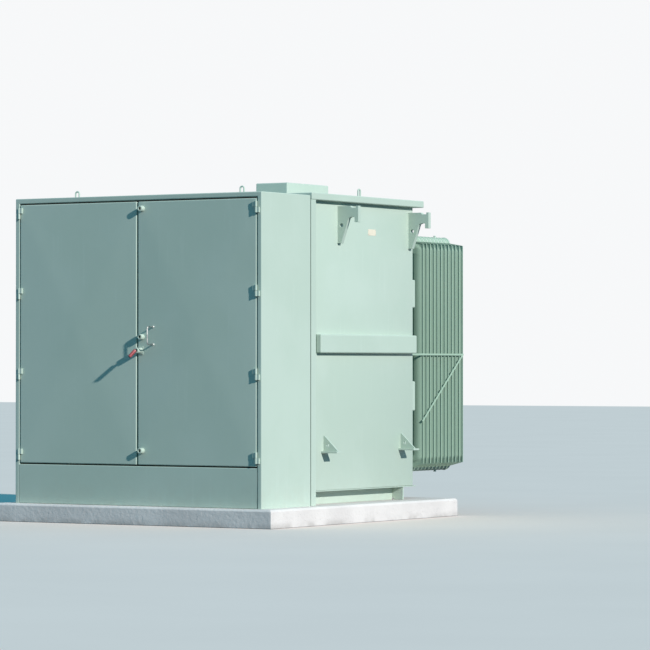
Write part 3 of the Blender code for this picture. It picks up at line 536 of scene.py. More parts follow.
def add_lathe(bm: bmesh.types.BMesh, profile: Outline, place: Matrix, steps: int = 32) -> None:
    """Turn a profile of (radius, height) round the Z axis of a place.

    Args:
        bm: the mesh that takes the shape.
        profile: points from the axis, over the outside, back to the axis.
        place: where the shape stands, with Z along its axis.
        steps: the number of sides.
    """
    rings: list[Ring] = []
    for radius, height in profile:
        if radius < MERGE_DISTANCE:
            rings.append([bm.verts.new(place @ Vector((0.0, 0.0, height)))])
            continue
        angles = [2 * math.pi * step / steps for step in range(steps)]
        ring = [Vector((radius * math.cos(a), radius * math.sin(a), height)) for a in angles]
        rings.append([bm.verts.new(place @ at) for at in ring])
    faces = []
    for first, second in zip(rings, rings[1:]):
        faces += add_band(bm, first, second)
    bmesh.ops.recalc_face_normals(bm, faces=faces)


def add_tube(bm: bmesh.types.BMesh, path: Sequence[Vector], radius: float, sides: int = 14) -> None:
    """Sweep a round rod along a path that lies in one plane or bends gently, with closed ends.

    Args:
        bm: the mesh that takes the shape.
        path: the rod's middle line.
        radius: the rod's radius.
        sides: the number of sides.
    """
    nearly_along = 0.95
    side = Vector(TO_TOP)
    rings = []
    for index, at in enumerate(path):
        along = (path[min(index + 1, len(path) - 1)] - path[max(index - 1, 0)]).normalized()
        if abs(along.dot(side)) > nearly_along:
            side = Vector(TO_RIGHT) if abs(along.x) < nearly_along else Vector(TO_REAR)
        side = (side - along * side.dot(along)).normalized()
        over = along.cross(side)
        angles = [2 * math.pi * step / sides for step in range(sides)]
        ring = [at + radius * (math.cos(a) * side + math.sin(a) * over) for a in angles]
        rings.append([bm.verts.new(corner) for corner in ring])
    faces = [bm.faces.new(rings[0]), bm.faces.new(rings[-1])]
    for first, second in zip(rings, rings[1:]):
        faces += add_band(bm, first, second)
    bmesh.ops.recalc_face_normals(bm, faces=faces)


def add_prism(bm: bmesh.types.BMesh, outline: Sequence[Vector], run: Vector) -> None:
    """Run a flat outline along a vector.

    Args:
        bm: the mesh that takes the shape.
        outline: the corners of the outline.
        run: how far and which way it goes.
    """
    near = [bm.verts.new(at) for at in outline]
    far = [bm.verts.new(at + run) for at in outline]
    faces = [bm.faces.new(near), bm.faces.new(far), *add_band(bm, near, far)]
    bmesh.ops.recalc_face_normals(bm, faces=faces)


def clamped(share: float) -> float:
    """Keep a share within 0 to 1."""
    return min(max(share, 0.0), 1.0)


def eased(share: float) -> float:
    """Clamp a share to 0 to 1 and ease both ends."""
    kept = clamped(share)
    return kept * kept * (3 - 2 * kept)


def swollen(share: float) -> float:
    """Clamp a share to 0 to 1 and round it off, steep at first and level at the end."""
    return 1.0 - (1.0 - clamped(share)) ** 2


def standing(at: Sequence[float], axis: Sequence[float]) -> Matrix:
    """Give a place whose Z runs along an axis."""
    return Matrix.Translation(at) @ Vector(axis).to_track_quat("Z", "Y").to_matrix().to_4x4()


def shifted(outline: Outline, radius: float, height: float) -> list[tuple[float, float]]:
    """Move an outline of (radius, height) out and up."""
    return [(radius + out, height + up) for out, up in outline]


def middle_of(low: Vector, high: Vector) -> Vector:
    """Give the middle of a box."""
    return (low + high) / 2


class Workshop:
    """Makes finished pieces out of meshes and puts them on their bodies."""

    def __init__(self, finishes: Finishes) -> None:
        """Keep the coats that pieces take."""
        self.finishes = finishes

    def piece(
        self,
        name: str,
        shape: bmesh.types.BMesh | bpy.types.Mesh,
        coat: Coat,
        body: Body = Body.ENCLOSURE,
        replaces: Sequence[str] = (),
        bevel: float = 0.0,
        wall: float = 0.0,
    ) -> bpy.types.Object:
        """Turn a mesh into a finished piece on its body.

        Args:
            name: the piece's name.
            shape: its shape, which is used up.
            coat: its material, with the record's finish.
            body: the body that it rides on.
            replaces: the solids that it stands for.
            bevel: the width of its rounded edges.
            wall: the thickness of its sheet, inwards.

        Returns:
            The piece.
        """
        data = plain_mesh(name, shape) if isinstance(shape, bmesh.types.BMesh) else shape
        data.materials.clear()
        data.materials.append(coat.material)
        data.polygons.foreach_set("use_smooth", [True] * len(data.polygons))
        data.set_sharp_from_angle(angle=SHARP_ANGLE)
        made = bpy.data.objects.new(name, data)
        bpy.context.scene.collection.objects.link(made)
        if bevel:
            edge = made.modifiers.new("edges", "BEVEL")
            edge.width, edge.segments = bevel, 2
            edge.limit_method, edge.angle_limit = "ANGLE", BEVEL_ANGLE
            edge.harden_normals = True
        if wall:
            sheet = made.modifiers.new("sheet", "SOLIDIFY")
            sheet.thickness, sheet.offset = wall, -1.0
            made.modifiers.new("flat_faces", "WEIGHTED_NORMAL").keep_sharp = True
        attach(made, body.value)
        if replaces:
            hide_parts(*replaces)
        LOG.info("%s: %d faces on %s", name, len(data.polygons), body.value)
        return made

    def softened(self, node: str, name: str, coat: Coat, bevel: float) -> bpy.types.Object:
        """Replace a solid by a copy of itself whose edges are rounded.

        Args:
            node: the solid's name.
            name: the piece's name.
            coat: its material, with the record's finish.
            bevel: the width of its rounded edges.

        Returns:
            The piece.
        """
        bm = bmesh.new()
        bm.from_mesh(frame["nodes"][node].data)
        bmesh.ops.remove_doubles(bm, verts=bm.verts[:], dist=MERGE_DISTANCE)
        bmesh.ops.dissolve_limit(bm, angle_limit=FLAT_ANGLE, verts=bm.verts[:], edges=bm.edges[:])
        return self.piece(name, bm, coat, replaces=(node,), bevel=bevel)


class ShapeTree(NodeKit):
    """Builds one Geometry Nodes tree with named inputs, and runs it to a plain mesh."""

    def __init__(self, name: str, inputs: dict[str, str]) -> None:
        """Start an empty tree with a mesh going in and coming out.

        Args:
            name: the tree's name.
            inputs: the kinds of its own inputs, by name.
        """
        super().__init__(bpy.data.node_groups.new(name, "GeometryNodeTree"))
        self.sockets: dict[str, str] = {}
        for key, kind in {"Geometry": "Geometry", **inputs, "Finish": "Material"}.items():
            made = self.tree.interface.new_socket(key, in_out="INPUT", socket_type=f"NodeSocket{kind}")
            self.sockets[key] = made.identifier
        self.tree.interface.new_socket("Geometry", in_out="OUTPUT", socket_type="NodeSocketGeometry")
        self.start = self.tree.nodes.new("NodeGroupInput").outputs
        self.end = self.tree.nodes.new("NodeGroupOutput").inputs

    def close(self, shape: bpy.types.NodeSocket) -> None:
        """End the tree with real geometry in its material.

        Args:
            shape: the socket that gives the shape.
        """
        real = self.node("GeometryNodeRealizeInstances", {0: shape})
        dressed = self.node("GeometryNodeSetMaterial", {0: real.outputs[0], "Material": self.start["Finish"]})
        self.tree.links.new(dressed.outputs[0], self.end[0])

    def run(self, bm: bmesh.types.BMesh, values: dict[str, object]) -> bpy.types.Mesh:
        """Run the tree on a mesh.

        Args:
            bm: the mesh that goes in, which is used up.
            values: the tree's inputs by name.

        Returns:
            The plain mesh that comes out.
        """
        data = plain_mesh("source", bm)
        holder = bpy.data.objects.new("source", data)
        modifier = holder.modifiers.new("tree", "NODES")
        modifier.node_group = self.tree
        for name, value in values.items():
            modifier[self.sockets[name]] = value
        bpy.context.scene.collection.objects.link(holder)
        graph = bpy.context.evaluated_depsgraph_get()
        result = bpy.data.meshes.new_from_object(holder.evaluated_get(graph))
        bpy.data.objects.remove(holder, do_unlink=True)
        bpy.data.meshes.remove(data)
        return result


class RowTree(ShapeTree):
    """Repeats a shape at equal steps along a line."""

    def __init__(self) -> None:
        """Build the tree."""
        super().__init__("shape_row", {"Count": "Int", "Step": "Vector", "First": "Vector"})
        start = self.start
        inputs = {"Count": start["Count"], "Start Location": start["First"], "Offset": start["Step"]}
        line = self.node("GeometryNodeMeshLine", inputs)
        inputs = {"Points": line.outputs[0], "Instance": start["Geometry"]}
        self.close(self.node("GeometryNodeInstanceOnPoints", inputs).outputs[0])

    def repeat(
        self, bm: bmesh.types.BMesh, count: int, first: Point, step: Point, coat: Coat
    ) -> bpy.types.Mesh:
        """Repeat a mesh.

        Args:
            bm: the mesh, which is used up.
            count: how often it stands there.
            first: the first place.
            step: the way from each place to the next.
            coat: what it is dressed in.

        Returns:
            The row as one mesh.
        """
        return self.run(bm, {"Count": count, "First": first, "Step": step, "Finish": coat.material})


class BeadTree(ShapeTree):
    """Lays a rippled weld bead along the edges of a mesh."""

    def __init__(self, thin_share: float = 0.86, swell_share: float = 0.28, sides: int = 6) -> None:
        """Build the tree.

        Args:
            thin_share: the bead's radius between two ripples, as a share of its radius.
            swell_share: how much a ripple adds, as a share of its radius.
            sides: the number of sides.
        """
        super().__init__("weld_bead", {"Radius": "Float", "Ripple": "Float"})
        start = self.start
        curve = self.node("GeometryNodeMeshToCurve", {0: start["Geometry"]}).outputs[0]
        half = self.node("ShaderNodeMath", {0: start["Ripple"], 1: 0.5}, operation="MULTIPLY").outputs[0]
        dense = self.node("GeometryNodeResampleCurve", {"Curve": curve, "Length": half}, mode="LENGTH")
        index = self.node("GeometryNodeInputIndex").outputs[0]
        odd = self.node("ShaderNodeMath", {0: index, 1: 2.0}, operation="MODULO").outputs[0]
        inputs = {0: odd, 1: swell_share, 2: thin_share}
        swell = self.node("ShaderNodeMath", inputs, operation="MULTIPLY_ADD").outputs[0]
        rippled = self.node("GeometryNodeSetCurveRadius", {"Curve": dense.outputs[0], "Radius": swell})
        ring = self.node("GeometryNodeCurvePrimitiveCircle", {"Resolution": sides, "Radius": start["Radius"]})
        inputs = {"Curve": rippled.outputs[0], "Profile Curve": ring.outputs[0], "Fill Caps": True}
        self.close(self.node("GeometryNodeCurveToMesh", inputs).outputs[0])


# The sealed tank


@dataclass
class Tank:
    """The sealed tank with its cover, stiffeners, lugs, brackets, welds and the blank plate."""

    shop: Workshop
    edge: float = 0.0022
    plate_edge: float = 0.0016
    bead_radius: float = 0.0032
    bead_ripple: float = 0.0055
    lug_bead_drop: float = 0.005
    label_span: Span = (0.2525, 0.3515)
    label_heights: Span = (1.8865, 1.9275)
    label_thickness: float = 0.0012
    label_gap: float = 0.0002
    label_edge: float = 0.0004
    rivet_inset: float = 0.006
    rivet_dome: Outline = ((0.0, 0.0016), (0.0021, 0.0012), (0.0030, 0.0), (0.0, -0.0005))

    def build(self) -> None:
        """Make all the tank's pieces."""
        paint = self.shop.finishes.paint
        names = {
            "tank_body": "tank_wall_plates",
            "tank_cover": "tank_cover_sheet",
            "tank_front_plate": "tank_flange_plate",
            "tank_bottom_plate": "tank_floor_sheet",
            "base_skid_left": "left_skid_channel",
            "base_skid_right": "right_skid_channel",
            "base_cross_plate": "rear_cross_member",
            "side_stiffener_left": "left_wall_rib",
            "side_stiffener_right": "right_wall_rib",
            "rear_stiffener_upper": "upper_rear_rib",
            "rear_stiffener_lower": "lower_rear_rib",
        }
        for node, name in names.items():
            self.shop.softened(node, name, paint, self.edge)
        for side in ("left", "right"):
            for end in ("front", "rear"):
                lug, jack = f"lifting_lug_{side}_{end}", f"jacking_bracket_{side}_{end}"
                self.shop.softened(lug, f"{end}_{side}_lug_plate", paint, self.plate_edge)
                self.shop.softened(jack, f"{end}_{side}_jack_seat", paint, self.plate_edge)
        self.welds()
        self.blank_plate()

    def side_seams(self, side: int, word: str) -> list[list[Vector]]:
        """Give the lines that are welded on one side wall.

        Args:
            side: which side it is.
            word: the side's name.

        Returns:
            The two ends of each line.
        """
        low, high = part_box("tank_body")
        rib_low, rib_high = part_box(f"side_stiffener_{word}")
        seams = [((low.y, low.z), (low.y, high.z))]
        seams += [((rib_low.y, z), (rib_high.y, z)) for z in (rib_low.z, rib_high.z)]
        seams.append(((rib_high.y, rib_low.z), (rib_high.y, rib_high.z)))
        seams.append(((low.y, high.z), (high.y, high.z)))
        for end in ("front", "rear"):
            lug_low, lug_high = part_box(f"lifting_lug_{word}_{end}")
            top = lug_high.z - self.lug_bead_drop
            seams += [((y, lug_low.z), (y, top)) for y in (lug_low.y, lug_high.y)]
            jack_low, jack_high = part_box(f"jacking_bracket_{word}_{end}")
            seams.append(((jack_low.y, jack_low.z), (jack_high.y, jack_low.z)))
        return [[Vector((side * high.x, *at)) for at in seam] for seam in seams]

    def rear_seams(self) -> list[list[Vector]]:
        """Give the lines that are welded on the rear wall.

        Returns:
            The two ends of each line.
        """
        low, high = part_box("tank_body")
        seams = []
        for word in ("upper", "lower"):
            rib_low, rib_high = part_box(f"rear_stiffener_{word}")
            seams += [(rib_low.x, rib_high.x, z) for z in (rib_low.z, rib_high.z)]
        seams.append((low.x, high.x, high.z))
        return [[Vector((x, high.y, z)) for x in (first, last)] for first, last, z in seams]

    def welds(self) -> None:
        """Lay the weld beads."""
        bm = bmesh.new()
        for line in self.side_seams(RIGHT, "right") + self.side_seams(LEFT, "left") + self.rear_seams():
            bm.edges.new([bm.verts.new(at) for at in line])
        paint = self.shop.finishes.paint
        values = {"Radius": self.bead_radius, "Ripple": self.bead_ripple, "Finish": paint.material}
        self.shop.piece("tank_weld_beads", BeadTree().run(bm, values), paint)

    def blank_plate(self) -> None:
        """Fix the small blank plate on the right wall with four rivets."""
        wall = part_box("tank_body")[1].x
        face = wall + self.label_thickness
        (near, far), (low, high), inset = self.label_span, self.label_heights, self.rivet_inset
        bm = bmesh.new()
        add_block(bm, (wall + self.label_gap, near, low), (face, far, high))
        self.shop.piece("blank_wall_plate", bm, self.shop.finishes.label, bevel=self.label_edge)
        bm = bmesh.new()
        for y in (near + inset, far - inset):
            for z in (low + inset, high - inset):
                add_lathe(bm, self.rivet_dome, standing((face, y, z), TO_RIGHT), 12)
        self.shop.piece("wall_plate_rivets", bm, self.shop.finishes.steel)


# The radiators


@dataclass
class RadiatorBank:
    """One bank: pressed panels with rounded flutes in a row on two header pipes."""

    shop: Workshop
    count: int = 12
    pitch: float = 0.0491
    first: float = 0.188
    half_width: float = 0.1625
    corner_high: float = 1.856
    corner_low: float = 0.355
    top_rise: float = 0.022
    bottom_drop: float = 0.032
    corner_radius: float = 0.003
    hem_half: float = 0.0036
    hem_width: float = 0.0045
    rim: float = 0.0010
    rim_width: float = 0.008
    side_slope: float = 0.040
    end_slope: float = 0.026
    shoulder_half: float = 0.0775
    shoulder_width: float = 0.082
    high_shoulder: float = 0.075
    high_spring: float = 1.786
    low_shoulder: float = 0.058
    low_spring: float = 0.421
    flute_half: float = 0.0096
    pocket_half: float = 0.0120
    valley_half: float = 0.0032
    flute_crown: float = 0.0016
    groove_spread: float = 0.085
    groove_half: float = 0.0105
    groove_high: float = 1.772
    groove_low: float = 0.424
    groove_wave: float = 0.006
    groove_run: float = 0.014
    groove_steps: Sequence[float] = (0.0, 0.0025, 0.005, 0.0085, 0.0125, 0.024)
    rim_steps: Sequence[float] = (0.0, 0.0022, 0.0034, 0.0046, 0.008, 0.012, 0.017, 0.022, 0.028)
    shoulder_steps: Sequence[float] = (0.035, 0.042, 0.051)
    end_steps: Sequence[float] = (0.0, 0.0022, 0.0034, 0.0046, 0.009, 0.0145)
    swell_start: float = 0.019
    swell_step: float = 0.005
    swell_rows: int = 19
    last_row: float = 0.125
    header_radius: float = 0.039
    header_low: float = 0.342
    header_high: float = 1.872
    overrun: float = 0.028
    weld_ring: Outline = ((-0.002, 0.004), (0.002, 0.003), (0.0045, -0.001))
    wall_start: float = 0.0005
    wall_ring: Outline = ((0.006, 0.0), (0.006, 0.0025), (0.001, 0.0070), (0.0, 0.0080))
    collar: Outline = ((0.0, 0.0), (0.006, 0.0), (0.007, 0.0015), (0.006, 0.0035), (0.001, 0.0050))
    end_cap: Outline = ((0.0, -0.002), (0.002, 0.0), (0.002, 0.0076), (0.0006, 0.0090))
    plug: Outline = ((0.0165, 0.0090), (0.0150, 0.0100), (0.0150, 0.0195), (0.0138, 0.0208), (0.0, 0.0208))
    vent_foot: Outline = ((0.0, -0.004), (0.0120, -0.004), (0.0115, 0.004), (0.0076, 0.0045))
    vent_head: Outline = ((0.0076, 0.0070), (0.0090, 0.0075), (0.0090, 0.0138), (0.0080, 0.015), (0.0, 0.015))
    vent_setbacks: Span = (0.243, 0.6195)
    brace_edge: float = 0.0008

    def top(self, x: float) -> float:
        """Height of a panel's top edge at a distance from its middle."""
        return self.corner_high + self.top_rise * self.slope(x) - self.corner_fall(x)

    def bottom(self, x: float) -> float:
        """Height of a panel's bottom edge at a distance from its middle."""
        return self.corner_low - self.bottom_drop * self.slope(x) + self.corner_fall(x)

    def slope(self, x: float) -> float:
        """Share of the way up the sloping end, from the corner to the pipe."""
        reach = self.half_width - self.header_radius
        return min(1.0, (self.half_width - abs(x)) / reach)

    def corner_fall(self, x: float) -> float:
        """How far a rounded corner falls short of a sharp one.

        Args:
            x: distance from the panel's middle.

        Returns:
            The fall in metres.
        """
        over = abs(x) - (self.half_width - self.corner_radius)
        if over <= 0.0:
            return 0.0
        return self.corner_radius - math.sqrt(max(self.corner_radius**2 - over**2, 0.0))

    def shoulder_reach(self, x: float, over: float, height: float) -> float:
        """How far a place lies inside the curved shoulder of the swollen body.

        Args:
            x: distance from the panel's middle.
            over: distance past the spring of the shoulder, towards the panel's end.
            height: the shoulder's own height.

        Returns:
            The distance in metres, below zero outside the body.
        """
        out = max(abs(x) - self.shoulder_half, 0.0) / self.shoulder_width
        if over <= 0.0:
            return (1.0 - out) * self.shoulder_width
        rise = over / height
        turn = math.atan2(rise, out)
        scale = self.shoulder_width * math.cos(turn) ** 2 + height * math.sin(turn) ** 2
        return (1.0 - math.hypot(out, rise)) * scale

    def fluted_half(self, x: float, z: float) -> float:
        """Half of the swollen body's thickness, with its grooves.

        Args:
            x: distance from the panel's middle.
            z: height.

        Returns:
            The half thickness in metres.
        """
        near = min(abs(x - centre) for centre in (-self.groove_spread, 0.0, self.groove_spread))
        along = min(near / self.groove_half, 1.0)
        crown = self.flute_crown * math.sin(math.pi * min(near / (self.groove_spread / 2), 1.0) / 2)
        rise = (self.flute_half - self.valley_half) * math.sin(math.pi / 2 * along)
        fluted = self.valley_half + rise + crown
        wave = self.groove_wave * math.cos(math.pi * x / self.groove_spread)
        over = max(z - (self.groove_high - wave), (self.groove_low + wave) - z)
        return fluted + (self.pocket_half - fluted) * eased(over / self.groove_run)

    def half_thickness(self, x: float, z: float) -> float:
        """Half of a panel's thickness, from the hem at its rim to the swollen body.

        Args:
            x: distance from the panel's middle.
            z: height.

        Returns:
            The half thickness in metres.
        """
        side = self.half_width - abs(x)
        end = min(self.top(x) - z, z - self.bottom(x))
        shoulder = min(
            end - self.rim_width,
            self.shoulder_reach(x, z - self.high_spring, self.high_shoulder),
            self.shoulder_reach(x, self.low_spring - z, self.low_shoulder),
        )
        rise = min(swollen((side - self.rim_width) / self.side_slope), swollen(shoulder / self.end_slope))
        half_hem = self.hem_width / 2
        hem = (self.hem_half - self.rim) * (1.0 - eased((min(side, end) - half_hem) / half_hem))
        return self.rim + (self.fluted_half(x, z) - self.rim) * rise + hem

    def columns(self) -> list[float]:
        """Give distances from the middle of the panel, dense in the grooves and at the rims.

        Returns:
            The distances, from left to right.
        """
        half = {*self.groove_steps, self.groove_spread / 2}
        half |= {self.groove_spread + step * sign for step in self.groove_steps for sign in (1, -1)}
        half |= {self.half_width - step for step in (*self.rim_steps, *self.shoulder_steps)}
        ordered = sorted({round(x, 5) for x in half})
        return [-x for x in reversed(ordered[1:])] + ordered

    def edge_heights(self, x: float) -> list[float]:
        """Give the heights of the corners in one column of the panel, dense at both ends.

        Args:
            x: distance from the panel's middle.

        Returns:
            The heights, from the bottom up.
        """
        rows = [self.swell_start + self.swell_step * row for row in range(self.swell_rows)]
        offsets = [*self.end_steps, *rows, self.last_row]
        low, high = self.bottom(x), self.top(x)
        return [low + offset for offset in offsets] + [high - offset for offset in reversed(offsets)]

    def panel(self) -> bmesh.types.BMesh:
        """Make one pressed panel about its own middle plane.

        Returns:
            The panel, with the weld rings that join it to the headers.
        """
        bm = bmesh.new()
        columns = [(x, self.edge_heights(x)) for x in self.columns()]
        sides = []
        for face in (1, -1):
            grid = []
            for row in range(len(columns[0][1])):
                places = [(x, heights[row]) for x, heights in columns]
                corners = [(x, face * self.half_thickness(x, z), z) for x, z in places]
                grid.append([bm.verts.new(at) for at in corners])
            add_sheet(bm, grid)
            sides.append(rim_of(grid))
        add_band(bm, *sides)
        half = self.pocket_half
        profile = [(self.header_radius + out, -half - past) for out, past in self.weld_ring]
        profile += [(radius, -height) for radius, height in reversed(profile)]
        for height in (self.header_low, self.header_high):
            add_lathe(bm, [*profile, profile[0]], standing((0.0, 0.0, height), TO_REAR), 28)
        bmesh.ops.recalc_face_normals(bm, faces=bm.faces[:])
        return bm

    def add_header(self, bm: bmesh.types.BMesh, at: Point, up: int) -> None:
        """Add one header pipe with its wall ring, collar, end cap, plug and vents.

        Args:
            bm: the mesh that takes the shape.
            at: where the pipe leaves the wall.
            up: 1 where its vents are on top, or -1.
        """
        reach = self.first + self.pitch * (self.count - 1)
        radius, end = self.header_radius, reach + self.overrun
        profile = [(0.0, self.wall_start), *shifted(self.wall_ring, radius, self.wall_start)]
        profile += shifted(self.collar, radius, reach + self.pocket_half)
        profile += shifted(self.end_cap, radius, end) + shifted(self.plug, 0.0, end)
        add_lathe(bm, profile, standing(at, TO_REAR), 44)
        vent = shifted((*self.vent_foot, *self.vent_head), 0.0, radius)
        for setback in self.vent_setbacks:
            add_lathe(bm, vent, standing((at[0], at[1] + setback, at[2]), (0.0, 0.0, up)), 12)

    def build(self, row: RowTree, word: str) -> None:
        """Make the bank that replaces a node.

        Args:
            row: the tree that repeats the panels.
            word: which of the banks this is.
        """
        node = f"radiator_{word}"
        centre, wall = middle_of(*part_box(node)).x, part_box("tank_body")[1].y
        # The panels and the brace take the darker copy of the paint, which paints shade on them; the header
        # pipes take the tank paint.
        coat = self.shop.finishes.radiator_with_painted_shade
        place = (centre, wall + self.first, 0.0)
        panels = row.repeat(self.panel(), self.count, place, (0.0, self.pitch, 0.0), coat)
        self.shop.piece(f"{word}_fluted_bank", panels, coat, replaces=(node,))
        bm = bmesh.new()
        self.add_header(bm, (centre, wall, self.header_low), -1)
        self.add_header(bm, (centre, wall, self.header_high), 1)
        self.shop.piece(f"{word}_header_pipes", bm, self.shop.finishes.paint)
        self.shop.softened(f"radiator_brace_{word}", f"{word}_bank_brace", coat, self.brace_edge)


# The cabinet


@dataclass
class Cabinet:
    """The folded cabinet: shell, sill, seals, loops on the roof and the box on the cover."""

    shop: Workshop
    sheet: float = 0.003
    edge: float = 0.0055
    strip: float = 0.033
    lip: float = 0.014
    flange: float = 0.045
    seal: float = 0.010
    seal_gap: float = 0.001
    seal_edge: float = 0.0025
    joint_edge: float = 0.0008
    box_edge: float = 0.0018
    loop_radius: float = 0.0055
    loop_steps: int = 16
    leg_steps: int = 3
    loop_inset: float = 0.0001
    loop_foot: Outline = ((0.0, 0.0), (0.0085, 0.0), (0.0080, 0.0012), (0.0058, 0.0038), (0.0, 0.0040))

    def build(self) -> None:
        """Make all the cabinet's pieces."""
        coats = self.shop.finishes
        self.shell()
        self.sill()
        self.shop.softened("joint_gasket", "cabinet_joint_seal", coats.rubber, self.joint_edge)
        self.shop.softened("cover_box", "cover_box_shell", coats.paint, self.box_edge)
        self.door_seal()
        for word in ("left", "right"):
            self.loop(f"roof_loop_{word}", f"{word}_roof_eye", across=True)
            self.loop(f"cover_loop_{word}", f"{word}_cover_eye", across=False)

    def fold(self, name: str, grid: Sequence[Sequence[Point]], replaces: Sequence[str]) -> None:
        """Make a piece of folded sheet.

        Args:
            name: the piece's name.
            grid: the corners along each of its folds.
            replaces: the solids that it stands for.
        """
        bm = bmesh.new()
        add_sheet(bm, [[bm.verts.new(at) for at in line] for line in grid])
        face_front_out(bm)
        paint = self.shop.finishes.paint
        self.shop.piece(name, bm, paint, replaces=replaces, bevel=self.edge, wall=self.sheet)

    def shell(self) -> None:
        """Make the sides, the roof and the front frame as one welded shell."""
        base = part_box("cabinet_side_right")[0].z
        low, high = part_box("cabinet_roof")
        front, rear = low.y, high.y
        lines = [
            (high.x - self.flange, high.z - self.flange, rear),
            (high.x, high.z, rear),
            (high.x, high.z, front),
            (high.x - self.strip, low.z, front),
            (high.x - self.strip, low.z, front + self.lip),
        ]
        grid = [[(-x, y, base), (-x, y, top), (x, y, top), (x, y, base)] for x, top, y in lines]
        self.fold("cabinet_welded_shell", grid, ("cabinet_side_left", "cabinet_side_right", "cabinet_roof"))

    def sill(self) -> None:
        """Fold the panel under the doors."""
        low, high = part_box("cabinet_sill")
        folds = ((high.y, low.z), (low.y, low.z), (low.y, high.z), (high.y, high.z))
        self.fold("sill_panel", [[(x, y, z) for x in (low.x, high.x)] for y, z in folds], ("cabinet_sill",))

    def door_seal(self) -> None:
        """Run a rubber seal round the inside of the door opening."""
        roof_low, roof_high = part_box("cabinet_roof")
        low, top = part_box("left_door")[0].z, roof_low.z
        near = roof_low.y + self.lip + self.seal_gap
        far = near + self.seal
        outer = roof_high.x - self.strip
        inner = outer - self.seal
        bm = bmesh.new()
        strips = ((-outer, -inner, low), (inner, outer, low), (-inner, inner, top - self.seal))
        for left, right, base in strips:
            add_block(bm, (left, near, base), (right, far, top))
        self.shop.piece("door_opening_seal", bm, self.shop.finishes.rubber, bevel=self.seal_edge)

    def loop(self, node: str, name: str, across: bool) -> None:
        """Replace a rod loop by a rounder one with weld feet.

        Args:
            node: the solid's name.
            name: the piece's name.
            across: True where the loop lies from left to right.
        """
        low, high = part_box(node)
        way = Vector(TO_RIGHT if across else TO_REAR)
        radius = (high - low).dot(way) / 2 - self.loop_radius
        spring = high.z - self.loop_radius - radius
        legs = [low.z + (spring - low.z) * step / self.leg_steps for step in range(self.leg_steps)]
        flat = [(-radius, height) for height in legs]
        for step in range(self.loop_steps + 1):
            angle = math.pi * (1 - step / self.loop_steps)
            flat.append((radius * math.cos(angle), spring + radius * math.sin(angle)))
        flat += [(radius, height) for height in reversed(legs)]
        foot = middle_of(low, high) * Vector((1.0, 1.0, 0.0))
        path = [foot + way * out + Vector(TO_TOP) * height for out, height in flat]
        bm = bmesh.new()
        add_tube(bm, path, self.loop_radius - self.loop_inset)
        for end in (path[0], path[-1]):
            add_lathe(bm, self.loop_foot, standing(end, TO_TOP), 18)
        self.shop.piece(name, bm, self.shop.finishes.paint, replaces=(node,))


